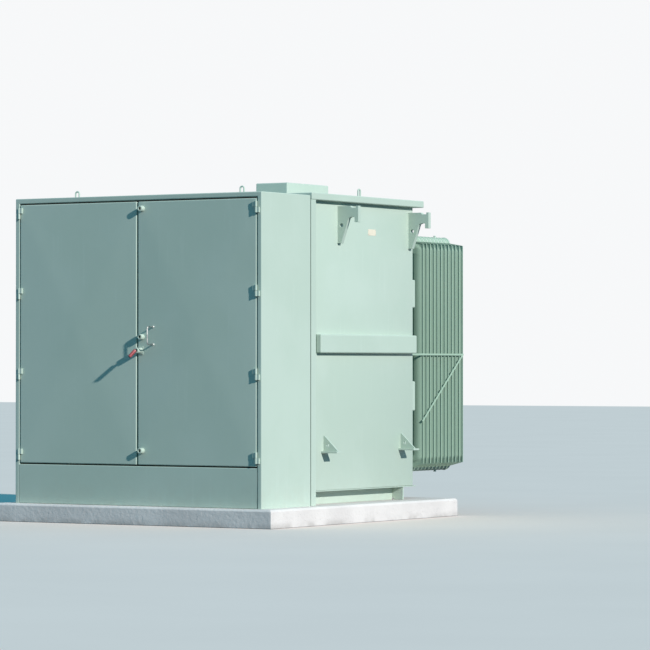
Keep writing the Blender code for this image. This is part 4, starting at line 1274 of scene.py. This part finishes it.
@dataclass
class Door:
    """One folded door with its crease, its hinge halves and stiffeners."""

    shop: Workshop
    side: int
    body: Body
    node: str
    sheet: float = 0.0020
    fold: float = 0.035
    lip: float = 0.016
    edge: float = 0.0055
    columns: int = 30
    rows: int = 54
    crown: float = 0.0080
    crease_width: float = 0.018
    ripple: float = 0.00055
    ripple_scales: Span = (2.6, 2.1)
    ripple_seeds: Span = (7.0, 3.1)
    ripple_rise: float = 8.0
    seam_relief: float = 0.0022
    end_relief: float = 0.0022
    hinge_relief: float = 0.003
    hinge_count: int = 4
    hinge_inset: float = 0.058
    knuckle_radius: float = 0.0088
    knuckle_height: float = 0.037
    knuckle_gap: float = 0.0003
    knuckle_chamfer: float = 0.0012
    knuckle_edge: float = 0.0009
    leaf_start: float = 0.0035
    leaf_reach: float = 0.0235
    leaf_back: float = 0.010
    leaf_inset: float = 0.001
    channel_offset: float = 0.16
    channel_setback: float = 0.0035
    channel_inset: float = 0.06
    channel_outer: Outline = ((0.030, 0.0), (0.018, 0.0), (0.014, 0.018))
    channel_inner: Outline = ((0.0155, 0.0198), (0.0195, 0.0018), (0.030, 0.0018))

    def hinge_at(self) -> Point:
        """Give the place of the door's joint."""
        return next(j for j in frame["joints"] if j["child"] == self.body.value)["pos_m"]

    def corners(self) -> tuple[Vector, Vector]:
        """Give the pan's own box, without the knuckles.

        Returns:
            The lowest and the highest corner.
        """
        low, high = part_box(self.node)
        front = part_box("cabinet_roof")[0].y
        left, right = low.x + self.seam_relief, high.x - self.seam_relief
        if self.side == RIGHT:
            right = self.hinge_at()[0] - self.hinge_relief
        else:
            left = self.hinge_at()[0] + self.hinge_relief
        lowest = Vector((left, front, low.z + self.end_relief))
        return lowest, Vector((right, front + self.fold, high.z - self.end_relief))

    def bulge(self, x: float, z: float, low: Vector, high: Vector) -> float:
        """How far the face stands out: a pyramid with soft creases, and the sheet's slight waves.

        Args:
            x: place from left to right.
            z: height.
            low: the pan's lowest corner.
            high: the pan's highest corner.

        Returns:
            The distance in metres.
        """
        across = min(x - low.x, high.x - x) / ((high.x - low.x) / 2)
        up = min(z - low.z, high.z - z) / ((high.z - low.z) / 2)
        width = self.crease_width
        soft = (across + up - math.hypot(across - up, width)) / 2 + width / 4
        inside = min(1.0, self.ripple_rise * min(across, up))
        seed, depth = self.ripple_seeds
        place = (x * self.ripple_scales[0] + seed * self.side, depth, z * self.ripple_scales[1])
        wave = noise.noise(Vector(place)) * self.ripple * inside
        return self.crown * max(0.0, min(soft, min(across, up))) + wave

    def pan(self) -> None:
        """Make the door's pan."""
        low, high = self.corners()
        bm = bmesh.new()
        grid = []
        for row in range(self.rows + 1):
            z = low.z + (high.z - low.z) * row / self.rows
            across = [low.x + (high.x - low.x) * column / self.columns for column in range(self.columns + 1)]
            grid.append([bm.verts.new((x, low.y - self.bulge(x, z, low, high), z)) for x in across])
        add_sheet(bm, grid)
        rim = rim_of(grid)
        back = [bm.verts.new((corner.co.x, high.y, corner.co.z)) for corner in rim]
        lips = []
        for corner in back:
            x = min(max(corner.co.x, low.x + self.lip), high.x - self.lip)
            z = min(max(corner.co.z, low.z + self.lip), high.z - self.lip)
            lips.append(bm.verts.new((x, high.y, z)))
        add_band(bm, rim, back)
        add_band(bm, back, lips)
        bmesh.ops.remove_doubles(bm, verts=lips, dist=MERGE_DISTANCE)
        bmesh.ops.dissolve_degenerate(bm, edges=bm.edges[:], dist=MERGE_DISTANCE)
        face_front_out(bm)
        name, paint = f"{self.node}_folded_sheet", self.shop.finishes.paint
        self.shop.piece(name, bm, paint, self.body, replaces=(self.node,), bevel=self.edge, wall=self.sheet)

    def knuckle(self, upper: bool) -> bmesh.types.BMesh:
        """Make one half hinge about its joint: a chamfered barrel and a flat leaf.

        Args:
            upper: True for the half on the door.

        Returns:
            The half hinge.
        """
        radius, chamfer = self.knuckle_radius, self.knuckle_chamfer
        low, high = self.knuckle_gap, self.knuckle_height
        if not upper:
            low, high = -high, -low
        barrel = [(0.0, low), (radius - chamfer, low), (radius, low + chamfer)]
        barrel += [(radius, high - chamfer), (radius - chamfer, high), (0.0, high)]
        bm = bmesh.new()
        add_lathe(bm, barrel, Matrix.Identity(4), 24)
        way = -self.side if upper else self.side
        start, reach, inset = self.leaf_start, self.leaf_reach, self.leaf_inset
        leaf = [(start, -start), (reach, -start), (reach, self.leaf_back), (start, self.leaf_back)]
        outline = [Vector((way * x, y, low + inset)) for x, y in leaf]
        add_prism(bm, outline, Vector(TO_TOP) * (high - low - 2 * inset))
        return bm

    def hinges(self, row: RowTree) -> None:
        """Make the half hinges on the door and on the cabinet.

        Args:
            row: the tree that repeats them.
        """
        low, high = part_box(self.node)
        lowest = low.z + self.hinge_inset
        step = (high.z - self.hinge_inset - lowest) / (self.hinge_count - 1)
        first = (*self.hinge_at()[:2], lowest)
        paint = self.shop.finishes.paint
        word = "right" if self.side == RIGHT else "left"
        for half, body in (("upper", self.body), ("lower", Body.ENCLOSURE)):
            data = row.repeat(self.knuckle(half == "upper"), self.hinge_count, first, (0.0, 0.0, step), paint)
            self.shop.piece(f"{word}_hinge_{half}_halves", data, paint, body, bevel=self.knuckle_edge)

    def inner_channels(self) -> None:
        """Make the upright stiffeners behind the door's sheet."""
        low, high = self.corners()
        face, foot = low.y + self.channel_setback, low.z + self.channel_inset
        outline = [(-x, y) for x, y in self.channel_outer]
        outline += [(x, y) for x, y in reversed(self.channel_outer)]
        outline += [(x, y) for x, y in reversed(self.channel_inner)]
        outline += [(-x, y) for x, y in self.channel_inner]
        bm = bmesh.new()
        for offset in (-self.channel_offset, self.channel_offset):
            x = middle_of(low, high).x + offset
            ring = [Vector((x + out, face + back, foot)) for out, back in outline]
            add_prism(bm, ring, Vector(TO_TOP) * (high.z - low.z - 2 * self.channel_inset))
        self.shop.piece(f"{self.node}_inner_channels", bm, self.shop.finishes.paint, self.body)

    def build(self, row: RowTree) -> None:
        """Make all the door's pieces.

        Args:
            row: the tree that repeats the hinges.
        """
        self.pan()
        self.hinges(row)
        self.inner_channels()


@dataclass(frozen=True)
class Socket:
    """A turned cup with a bore, but for its radius and its reach."""

    bore: float
    floor: float
    lip: Outline
    foot: Outline
    base: float
    mouth: Outline = ((0.0, -0.002), (0.001, 0.0))

    def profile(self, radius: float, reach: float) -> Outline:
        """Give the outline from the floor of the bore, over the lip, to the base.

        Args:
            radius: the cup's radius.
            reach: how far it stands out.

        Returns:
            Points of (radius, height).
        """
        points = [(0.0, self.floor), (self.bore, self.floor), *shifted(self.mouth, self.bore, reach)]
        points += shifted(self.lip, radius, reach) + shifted(self.foot, radius, 0.0)
        return [*points, (0.0, self.base)]


@dataclass
class DoorHardware:
    """Bolt cups, the handle, the lock boss and the lock on the right door."""

    shop: Workshop
    body: Body = Body.RIGHT_DOOR
    cup_lip: Outline = ((-0.0025, 0.0), (-0.0007, -0.0007), (0.0, -0.0025))
    cup_foot: Outline = ((0.0, 0.004), (0.0015, 0.0012), (0.0015, 0.0))
    cup_bore: float = 0.0100
    cup_floor: float = 0.008
    bolt_setback: float = 0.0075
    bolt_sides: int = 5
    bolt_head: Outline = ((0.0, 0.0), (0.0058, 0.0), (0.0058, 0.009), (0.0050, 0.0102), (0.0, 0.0102))
    rod_radius: float = 0.0046
    rod_bend: float = 0.011
    rod_lead: float = 0.01
    bend_steps: int = 6
    rosette_foot: Outline = ((0.0, 0.0), (0.0090, 0.0), (0.0086, 0.0014))
    rosette_neck: Outline = ((0.0062, 0.0036), (0.0048, 0.0042), (0.0, 0.0042))
    rosette_sink: float = 0.0003
    boss_lip: Outline = ((-0.002, 0.0), (-0.0005, -0.0006), (0.0, -0.0022))
    boss_foot: Outline = ((0.0, 0.0065), (0.002, 0.004))
    boss_radius: float = 0.018
    boss_bore: float = 0.009
    boss_floor: float = 0.007
    boss_base: float = 0.003
    boss_plate: float = 0.004
    boss_edge: float = 0.0007
    lock_tilt: float = math.radians(44.0)
    lock_swing: float = math.radians(22.6)
    lock_radius: float = 0.0115
    lock_length: float = 0.060
    lock_gap: float = 0.0003
    lock_margins: Span = (0.004, 0.006)
    lock_ridges: int = 6
    ridge_radii_and_shares: Outline = ((0.0115, 0.2), (0.0115, 0.6), (0.0101, 0.72), (0.0101, 0.92))
    lock_front: Outline = ((0.0, 0.0), (0.0100, 0.0), (0.0112, 0.0012))
    lock_rear: Outline = ((0.0113, -0.004), (0.0105, -0.0008), (0.0, 0.0))
    neck_radius: float = 0.0042
    neck_depth: float = 0.020
    neck_lead: float = 0.002
    neck_reach: float = 0.006

    def build(self) -> None:
        """Make all the fittings."""
        for word in ("top", "middle", "bottom"):
            self.cup(f"bolt_cup_{word}", f"{word}_bolt_guard")
        self.handle()
        self.boss()
        self.lock()

    def seat(self, node: str) -> tuple[Vector, float, float]:
        """Give where a fitting stands on the door.

        Args:
            node: the solid's name.

        Returns:
            Its centre on the door, its radius and its reach.
        """
        low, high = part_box(node)
        centre = middle_of(low, high)
        return Vector((centre.x, high.y, centre.z)), (high.x - low.x) / 2, high.y - low.y

    def cup(self, node: str, name: str) -> None:
        """Make a guard cup with a bolt head in its bore.

        Args:
            node: the solid's name.
            name: the cup's name.
        """
        centre, radius, reach = self.seat(node)
        socket = Socket(self.cup_bore, self.cup_floor, self.cup_lip, self.cup_foot, 0.0)
        bm = bmesh.new()
        add_lathe(bm, socket.profile(radius, reach), standing(centre, TO_FRONT), 36)
        self.shop.piece(name, bm, self.shop.finishes.paint, self.body, replaces=(node,))
        bm = bmesh.new()
        at = centre + Vector(TO_FRONT) * self.bolt_setback
        add_lathe(bm, self.bolt_head, standing(at, TO_FRONT), self.bolt_sides)
        self.shop.piece(f"{name}_bolt", bm, self.shop.finishes.brass, self.body)

    def handle(self) -> None:
        """Make the bent rod handle with its two rosettes."""
        low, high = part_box("door_handle")
        x, radius, bend = middle_of(low, high).x, self.rod_radius, self.rod_bend
        top, bottom, front = high.z - radius, low.z + radius, low.y + radius + bend
        path = [(high.y, bottom), (front + self.rod_lead, bottom)]
        for centre, start in ((bottom + bend, 0), (top - bend, 1)):
            for step in range(self.bend_steps + 1):
                angle = math.pi / 2 * (start + step / self.bend_steps)
                path.append((front - bend * math.sin(angle), centre - bend * math.cos(angle)))
        path += [(front + self.rod_lead, top), (high.y, top)]
        bm = bmesh.new()
        add_tube(bm, [Vector((x, *at)) for at in path], radius, 18)
        rosette = (*self.rosette_foot, *self.rosette_neck)
        for z in (bottom, top):
            add_lathe(bm, rosette, standing((x, high.y + self.rosette_sink, z), TO_FRONT), 28)
        self.shop.piece("bent_rod_handle", bm, self.shop.finishes.steel, self.body, ("door_handle",))

    def boss(self) -> None:
        """Make the lock boss on its plate."""
        low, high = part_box("lock_boss")
        centre, _, reach = self.seat("lock_boss")
        socket = Socket(self.boss_bore, self.boss_floor, self.boss_lip, self.boss_foot, self.boss_base)
        bm = bmesh.new()
        add_lathe(bm, socket.profile(self.boss_radius, reach), standing(centre, TO_FRONT), 36)
        add_block(bm, (low.x, high.y - self.boss_plate, low.z), high)
        paint = self.shop.finishes.paint
        self.shop.piece("lock_boss_on_plate", bm, paint, self.body, ("lock_boss",), bevel=self.boss_edge)

    def lock(self) -> None:
        """Make the ridged lock body, its keyway end and the neck that goes into the boss."""
        low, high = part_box("lock_boss")
        tilt, swing = self.lock_tilt, self.lock_swing
        axis = Vector((-math.cos(tilt) * math.sin(swing), -math.cos(tilt) * math.cos(swing), -math.sin(tilt)))
        centre = middle_of(low, high)
        mouth = Vector((centre.x, low.y, centre.z))
        stand = self.lock_radius * math.sqrt(1 - axis.y**2) + self.lock_gap
        start = mouth + Vector(TO_FRONT) * stand
        step = (self.lock_length - sum(self.lock_margins)) / self.lock_ridges
        profile = list(self.lock_front)
        for index in range(self.lock_ridges):
            base = self.lock_margins[0] + step * index
            profile += [(radius, base + share * step) for radius, share in self.ridge_radii_and_shares]
        profile += shifted(self.lock_rear, 0.0, self.lock_length)
        bm = bmesh.new()
        add_lathe(bm, profile, standing(start, axis), 32)
        self.shop.piece("ridged_lock_body", bm, self.shop.finishes.lock, self.body, ("padlock",))
        bm = bmesh.new()
        inner, outer = (mouth + Vector(TO_REAR) * back for back in (self.neck_depth, -self.neck_lead))
        add_tube(bm, [inner, outer, start + axis * self.neck_reach], self.neck_radius, 16)
        self.shop.piece("lock_neck", bm, self.shop.finishes.steel, self.body)


# Inside the cabinet


@dataclass
class Terminals:
    """The bushings on the tank's front plate, behind the doors."""

    shop: Workshop
    high_count: int = 3
    low_count: int = 4
    spacing: float = 0.190
    seat_gap: float = 0.0005
    cone_foot: Outline = ((0.0, 0.0), (0.058, 0.0), (0.058, 0.006), (0.050, 0.012))
    skirts: int = 5
    skirt_step: float = 0.018
    skirt_radius: float = 0.047
    skirt_taper: float = 0.0025
    skirt: Outline = ((-0.006, 0.0), (0.0, 0.004), (-0.006, 0.012))
    cone_rim: Outline = ((0.034, -0.018), (0.038, -0.014), (0.038, -0.002), (0.036, 0.0), (0.026, 0.0))
    cone_bore: Outline = ((0.024, -0.060), (0.0, -0.062))
    collar_foot: Outline = ((0.0, 0.0), (0.036, 0.0), (0.036, 0.010), (0.031, 0.014))
    collar_ribs: Outline = ((0.031, 0.030), (0.034, 0.034), (0.031, 0.040), (0.031, 0.056), (0.034, 0.060))
    collar_head: Outline = ((0.031, 0.066), (0.028, 0.078), (0.0, 0.080))
    stud_start: float = 0.074
    stud: Outline = ((0.0, 0.0), (0.016, 0.0), (0.016, 0.020), (0.0, 0.022))
    stud_bared: float = 0.012
    spade_half: float = 0.038
    spade_half_thickness: float = 0.007
    spade_edge: float = 0.0006
    hole_radius: float = 0.0072
    hole_steps: int = 24
    plate_thickness: float = 0.012
    plate_edge: float = 0.0015
    bolt_head: Outline = ((0.0, 0.0), (0.0085, 0.0), (0.0085, 0.006), (0.0070, 0.0072), (0.0, 0.0072))
    bolt_sink: float = 0.0002
    bolt_spacing: float = 0.12
    bolt_insets: Span = (0.018, 0.014)

    def build(self) -> None:
        """Make both sets."""
        self.high_side()
        self.low_side()

    def seats(self, node: str, count: int) -> list[Vector]:
        """Give the places of a set on the face of its plate.

        Args:
            node: the solid's name.
            count: how many there are.

        Returns:
            The place of each.
        """
        low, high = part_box(node)
        centre = middle_of(low, high)
        face = high.y - self.plate_thickness + self.seat_gap
        shifts = [(index - (count - 1) / 2) * self.spacing for index in range(count)]
        return [Vector((centre.x + shift, face, centre.z)) for shift in shifts]

    def high_side(self) -> None:
        """Make the cone bushings with their skirts."""
        node = "high_voltage_bushings"
        low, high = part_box(node)
        reach = high.y - self.plate_thickness - low.y
        profile = list(self.cone_foot)
        for index in range(self.skirts):
            radius = self.skirt_radius - self.skirt_taper * index
            profile += shifted(self.skirt, radius, self.skirt_step * (index + 1))
        profile += shifted((*self.cone_rim, *self.cone_bore), 0.0, reach)
        bm = bmesh.new()
        for at in self.seats(node, self.high_count):
            add_lathe(bm, profile, standing(at, TO_FRONT), 40)
        self.shop.piece("ribbed_cone_bushings", bm, self.shop.finishes.resin, replaces=(node,))
        self.plate("cone_bushing_plate", low, high)

    def low_side(self) -> None:
        """Make the spade terminals with their holes and studs."""
        node = "low_voltage_bushings"
        low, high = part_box(node)
        collar = (*self.collar_foot, *self.collar_ribs, *self.collar_head)
        bodies, spades = bmesh.new(), bmesh.new()
        for at in self.seats(node, self.low_count):
            add_lathe(bodies, collar, standing(at, TO_FRONT), 36)
            start = at.y - self.seat_gap - self.stud_start
            self.spade(spades, Vector((at.x, start, at.z)), low.y)
        self.shop.piece("spade_bushing_bodies", bodies, self.shop.finishes.resin, replaces=(node,))
        self.shop.piece("four_hole_spades", spades, self.shop.finishes.tinned, bevel=self.spade_edge)
        self.plate("spade_bushing_plate", low, high)

    def spade(self, bm: bmesh.types.BMesh, start: Vector, end: float) -> None:
        """Add a stud and a flat spade with four round holes.

        Args:
            bm: the mesh that takes the shape.
            start: where the stud starts.
            end: how far to the front the spade goes.
        """
        add_lathe(bm, self.stud, standing(start, TO_FRONT), 28)
        cell_y, cell_z = (start.y - self.stud_bared - end) / 2, self.spade_half
        for row in (0.5, 1.5):
            for column in (-0.5, 0.5):
                centre = Vector((start.x, end + cell_y * row, start.z + cell_z * column))
                self.holed_cell(bm, centre, (cell_y / 2, cell_z / 2))

    def holed_cell(self, bm: bmesh.types.BMesh, centre: Vector, half: Span) -> None:
        """Add a rectangle of plate round one bolt hole.

        Args:
            bm: the mesh that takes the shape.
            centre: the middle of the hole.
            half: half of the rectangle's length and height.
        """
        loops: list[Ring] = []
        for off in (-self.spade_half_thickness, self.spade_half_thickness):
            inner, outer = [], []
            for step in range(self.hole_steps):
                angle = 2 * math.pi * (step + 0.5) / self.hole_steps
                cos, sin = math.cos(angle), math.sin(angle)
                stretch = 1 / max(abs(cos), abs(sin))
                near = Vector((off, self.hole_radius * cos, self.hole_radius * sin))
                far = Vector((off, half[0] * cos * stretch, half[1] * sin * stretch))
                inner.append(bm.verts.new(centre + near))
                outer.append(bm.verts.new(centre + far))
            loops += [inner, outer]
        near_in, near_out, far_in, far_out = loops
        for first, second in ((near_in, near_out), (far_out, far_in), (near_out, far_out), (far_in, near_in)):
            add_band(bm, first, second)
        bmesh.ops.recalc_face_normals(bm, faces=bm.faces[:])

    def plate(self, name: str, low: Vector, high: Vector) -> None:
        """Make the mounting plate behind a set, with its bolts.

        Args:
            name: the plate's name.
            low: the lowest corner of the set.
            high: the highest corner of the set.
        """
        face = high.y - self.plate_thickness
        bm = bmesh.new()
        add_block(bm, (low.x, face, low.z), high)
        self.shop.piece(name, bm, self.shop.finishes.paint, bevel=self.plate_edge)
        bm = bmesh.new()
        inset_x, inset_z = self.bolt_insets
        gaps = max(3, round((high.x - low.x) / self.bolt_spacing)) - 1
        for index in range(gaps + 1):
            x = low.x + inset_x + (high.x - low.x - 2 * inset_x) * index / gaps
            for z in (low.z + inset_z, high.z - inset_z):
                add_lathe(bm, self.bolt_head, standing((x, face + self.bolt_sink, z), TO_FRONT), 6)
        self.shop.piece(f"{name}_bolts", bm, self.shop.finishes.steel)


# The plinth, the stage and the camera


@dataclass
class Plinth:
    """The cast plinth."""

    shop: Workshop
    edge: float = 0.004

    def build(self) -> None:
        """Make the plinth with worn edges."""
        self.shop.softened("plinth", "cast_plinth", self.shop.finishes.concrete, self.edge)


@dataclass
class Studio:
    """A pale floor, soft lights and the camera."""

    floor_size: float = 60.0
    floor_drop: float = 0.0005
    floor_seen: Point = (0.92, 0.76, 0.69)
    floor_shares: Span = (0.98, 1.0)
    floor_clouds: Mottle = Mottle(0.8, 3.0, 0.3, 0.7)
    floor_roughness: float = 0.9
    floor_bounce: Point = (0.12, 0.12, 0.13)
    camera_at: Point = (12.909, -19.239, 1.015)
    camera_turn: Point = (90.695, 0.0, 32.304)
    lens: float = 191.3
    sensor_width: float = 36.0
    far_end: float = 200.0
    sun_from: Point = (0.872, -0.260, 0.415)
    sun_strength: float = 3.9
    sun_angle: float = 1.5
    sun_colour: Point = (1.0, 0.985, 0.96)
    fill_colour: Point = (0.14, 0.68, 1.0)
    fill_strength: float = 0.46
    surround_seen: Point = (0.93, 0.94, 0.95)

    def build(self) -> None:
        """Set everything up."""
        self.floor()
        self.lights()
        self.surround()
        self.camera()

    def floor(self) -> None:
        """Lay the plain floor."""
        bm = bmesh.new()
        bmesh.ops.create_grid(bm, x_segments=1, y_segments=1, size=self.floor_size)
        data = plain_mesh("studio_floor", bm)
        g = Graph("plain_floor")
        tones = [(*[tone * share for tone in self.floor_seen], 1.0) for share in self.floor_shares]
        colour = g.mixed(g.mottle(self.floor_clouds), *tones)
        g.dressed({"Base Color": colour, "Roughness": self.floor_roughness, "Specular IOR Level": 0.0})
        bounce = g.node("ShaderNodeBsdfDiffuse", {"Color": (*self.floor_bounce, 1.0)}).outputs[0]
        self.by_ray(g, bounce, g.shader.outputs[0], g.tree.nodes["Material Output"].inputs[0])
        data.materials.append(g.material)
        made = bpy.data.objects.new("studio_floor", data)
        made.location.z = -self.floor_drop
        bpy.context.scene.collection.objects.link(made)

    def lights(self) -> None:
        """Light from the right."""
        lamp = bpy.data.lights.new("key_light", "SUN")
        lamp.energy, lamp.angle = self.sun_strength, math.radians(self.sun_angle)
        lamp.color = self.sun_colour
        key = bpy.data.objects.new("key_light", lamp)
        key.rotation_euler = Vector(self.sun_from).to_track_quat("Z", "Y").to_euler()
        bpy.context.scene.collection.objects.link(key)

    def surround(self) -> None:
        """Put a plain pale surround behind, and fill the shade from all sides."""
        world = bpy.data.worlds.new("surround")
        bpy.context.scene.world = world
        world.use_nodes = True
        kit = NodeKit(world.node_tree)
        fill = world.node_tree.nodes["Background"]
        kit.feed(fill.inputs["Color"], (*self.fill_colour, 1.0))
        kit.feed(fill.inputs["Strength"], self.fill_strength)
        seen = kit.node("ShaderNodeBackground", {"Color": (*self.surround_seen, 1.0), "Strength": 1.0})
        end = world.node_tree.nodes["World Output"].inputs[0]
        self.by_ray(kit, fill.outputs[0], seen.outputs[0], end)
        bpy.context.scene.view_settings.view_transform = "Standard"

    def by_ray(
        self,
        kit: NodeKit,
        light: bpy.types.NodeSocket,
        seen: bpy.types.NodeSocket,
        end: bpy.types.NodeSocket,
    ) -> None:
        """Show one shader to the eye and in gloss and glass, and let another one light the object.

        Args:
            kit: the tree that both shaders are in.
            light: the shader that gives the light.
            seen: the shader that is seen.
            end: the socket that takes the result.
        """
        rays = kit.node("ShaderNodeLightPath").outputs
        share = rays["Is Camera Ray"]
        for kind in ("Is Glossy Ray", "Is Transmission Ray"):
            share = kit.node("ShaderNodeMath", {0: share, 1: rays[kind]}, operation="MAXIMUM").outputs[0]
        kit.feed(end, kit.node("ShaderNodeMixShader", {0: share, 1: light, 2: seen}).outputs[0])

    def camera(self) -> None:
        """Set the camera where the photo was taken from."""
        lens = bpy.data.cameras.new("photo_camera")
        lens.lens, lens.sensor_width = self.lens, self.sensor_width
        lens.clip_end = self.far_end
        made = bpy.data.objects.new("photo_camera", lens)
        made.location = self.camera_at
        made.rotation_euler = [math.radians(angle) for angle in self.camera_turn]
        bpy.context.scene.collection.objects.link(made)
        bpy.context.scene.camera = made


def main() -> None:
    """Build every sub-assembly in order."""
    logging.basicConfig(level=logging.INFO, format="%(message)s")
    Studio().build()
    shop = Workshop(Finishes())
    row = RowTree()
    Plinth(shop).build()
    Tank(shop).build()
    for word in ("far_left", "inner_left", "inner_right", "far_right"):
        RadiatorBank(shop).build(row, word)
    Cabinet(shop).build()
    Door(shop, LEFT, Body.LEFT_DOOR, "left_door").build(row)
    Door(shop, RIGHT, Body.RIGHT_DOOR, "right_door").build(row)
    DoorHardware(shop).build()
    Terminals(shop).build()


if __name__ == "__main__":
    main()
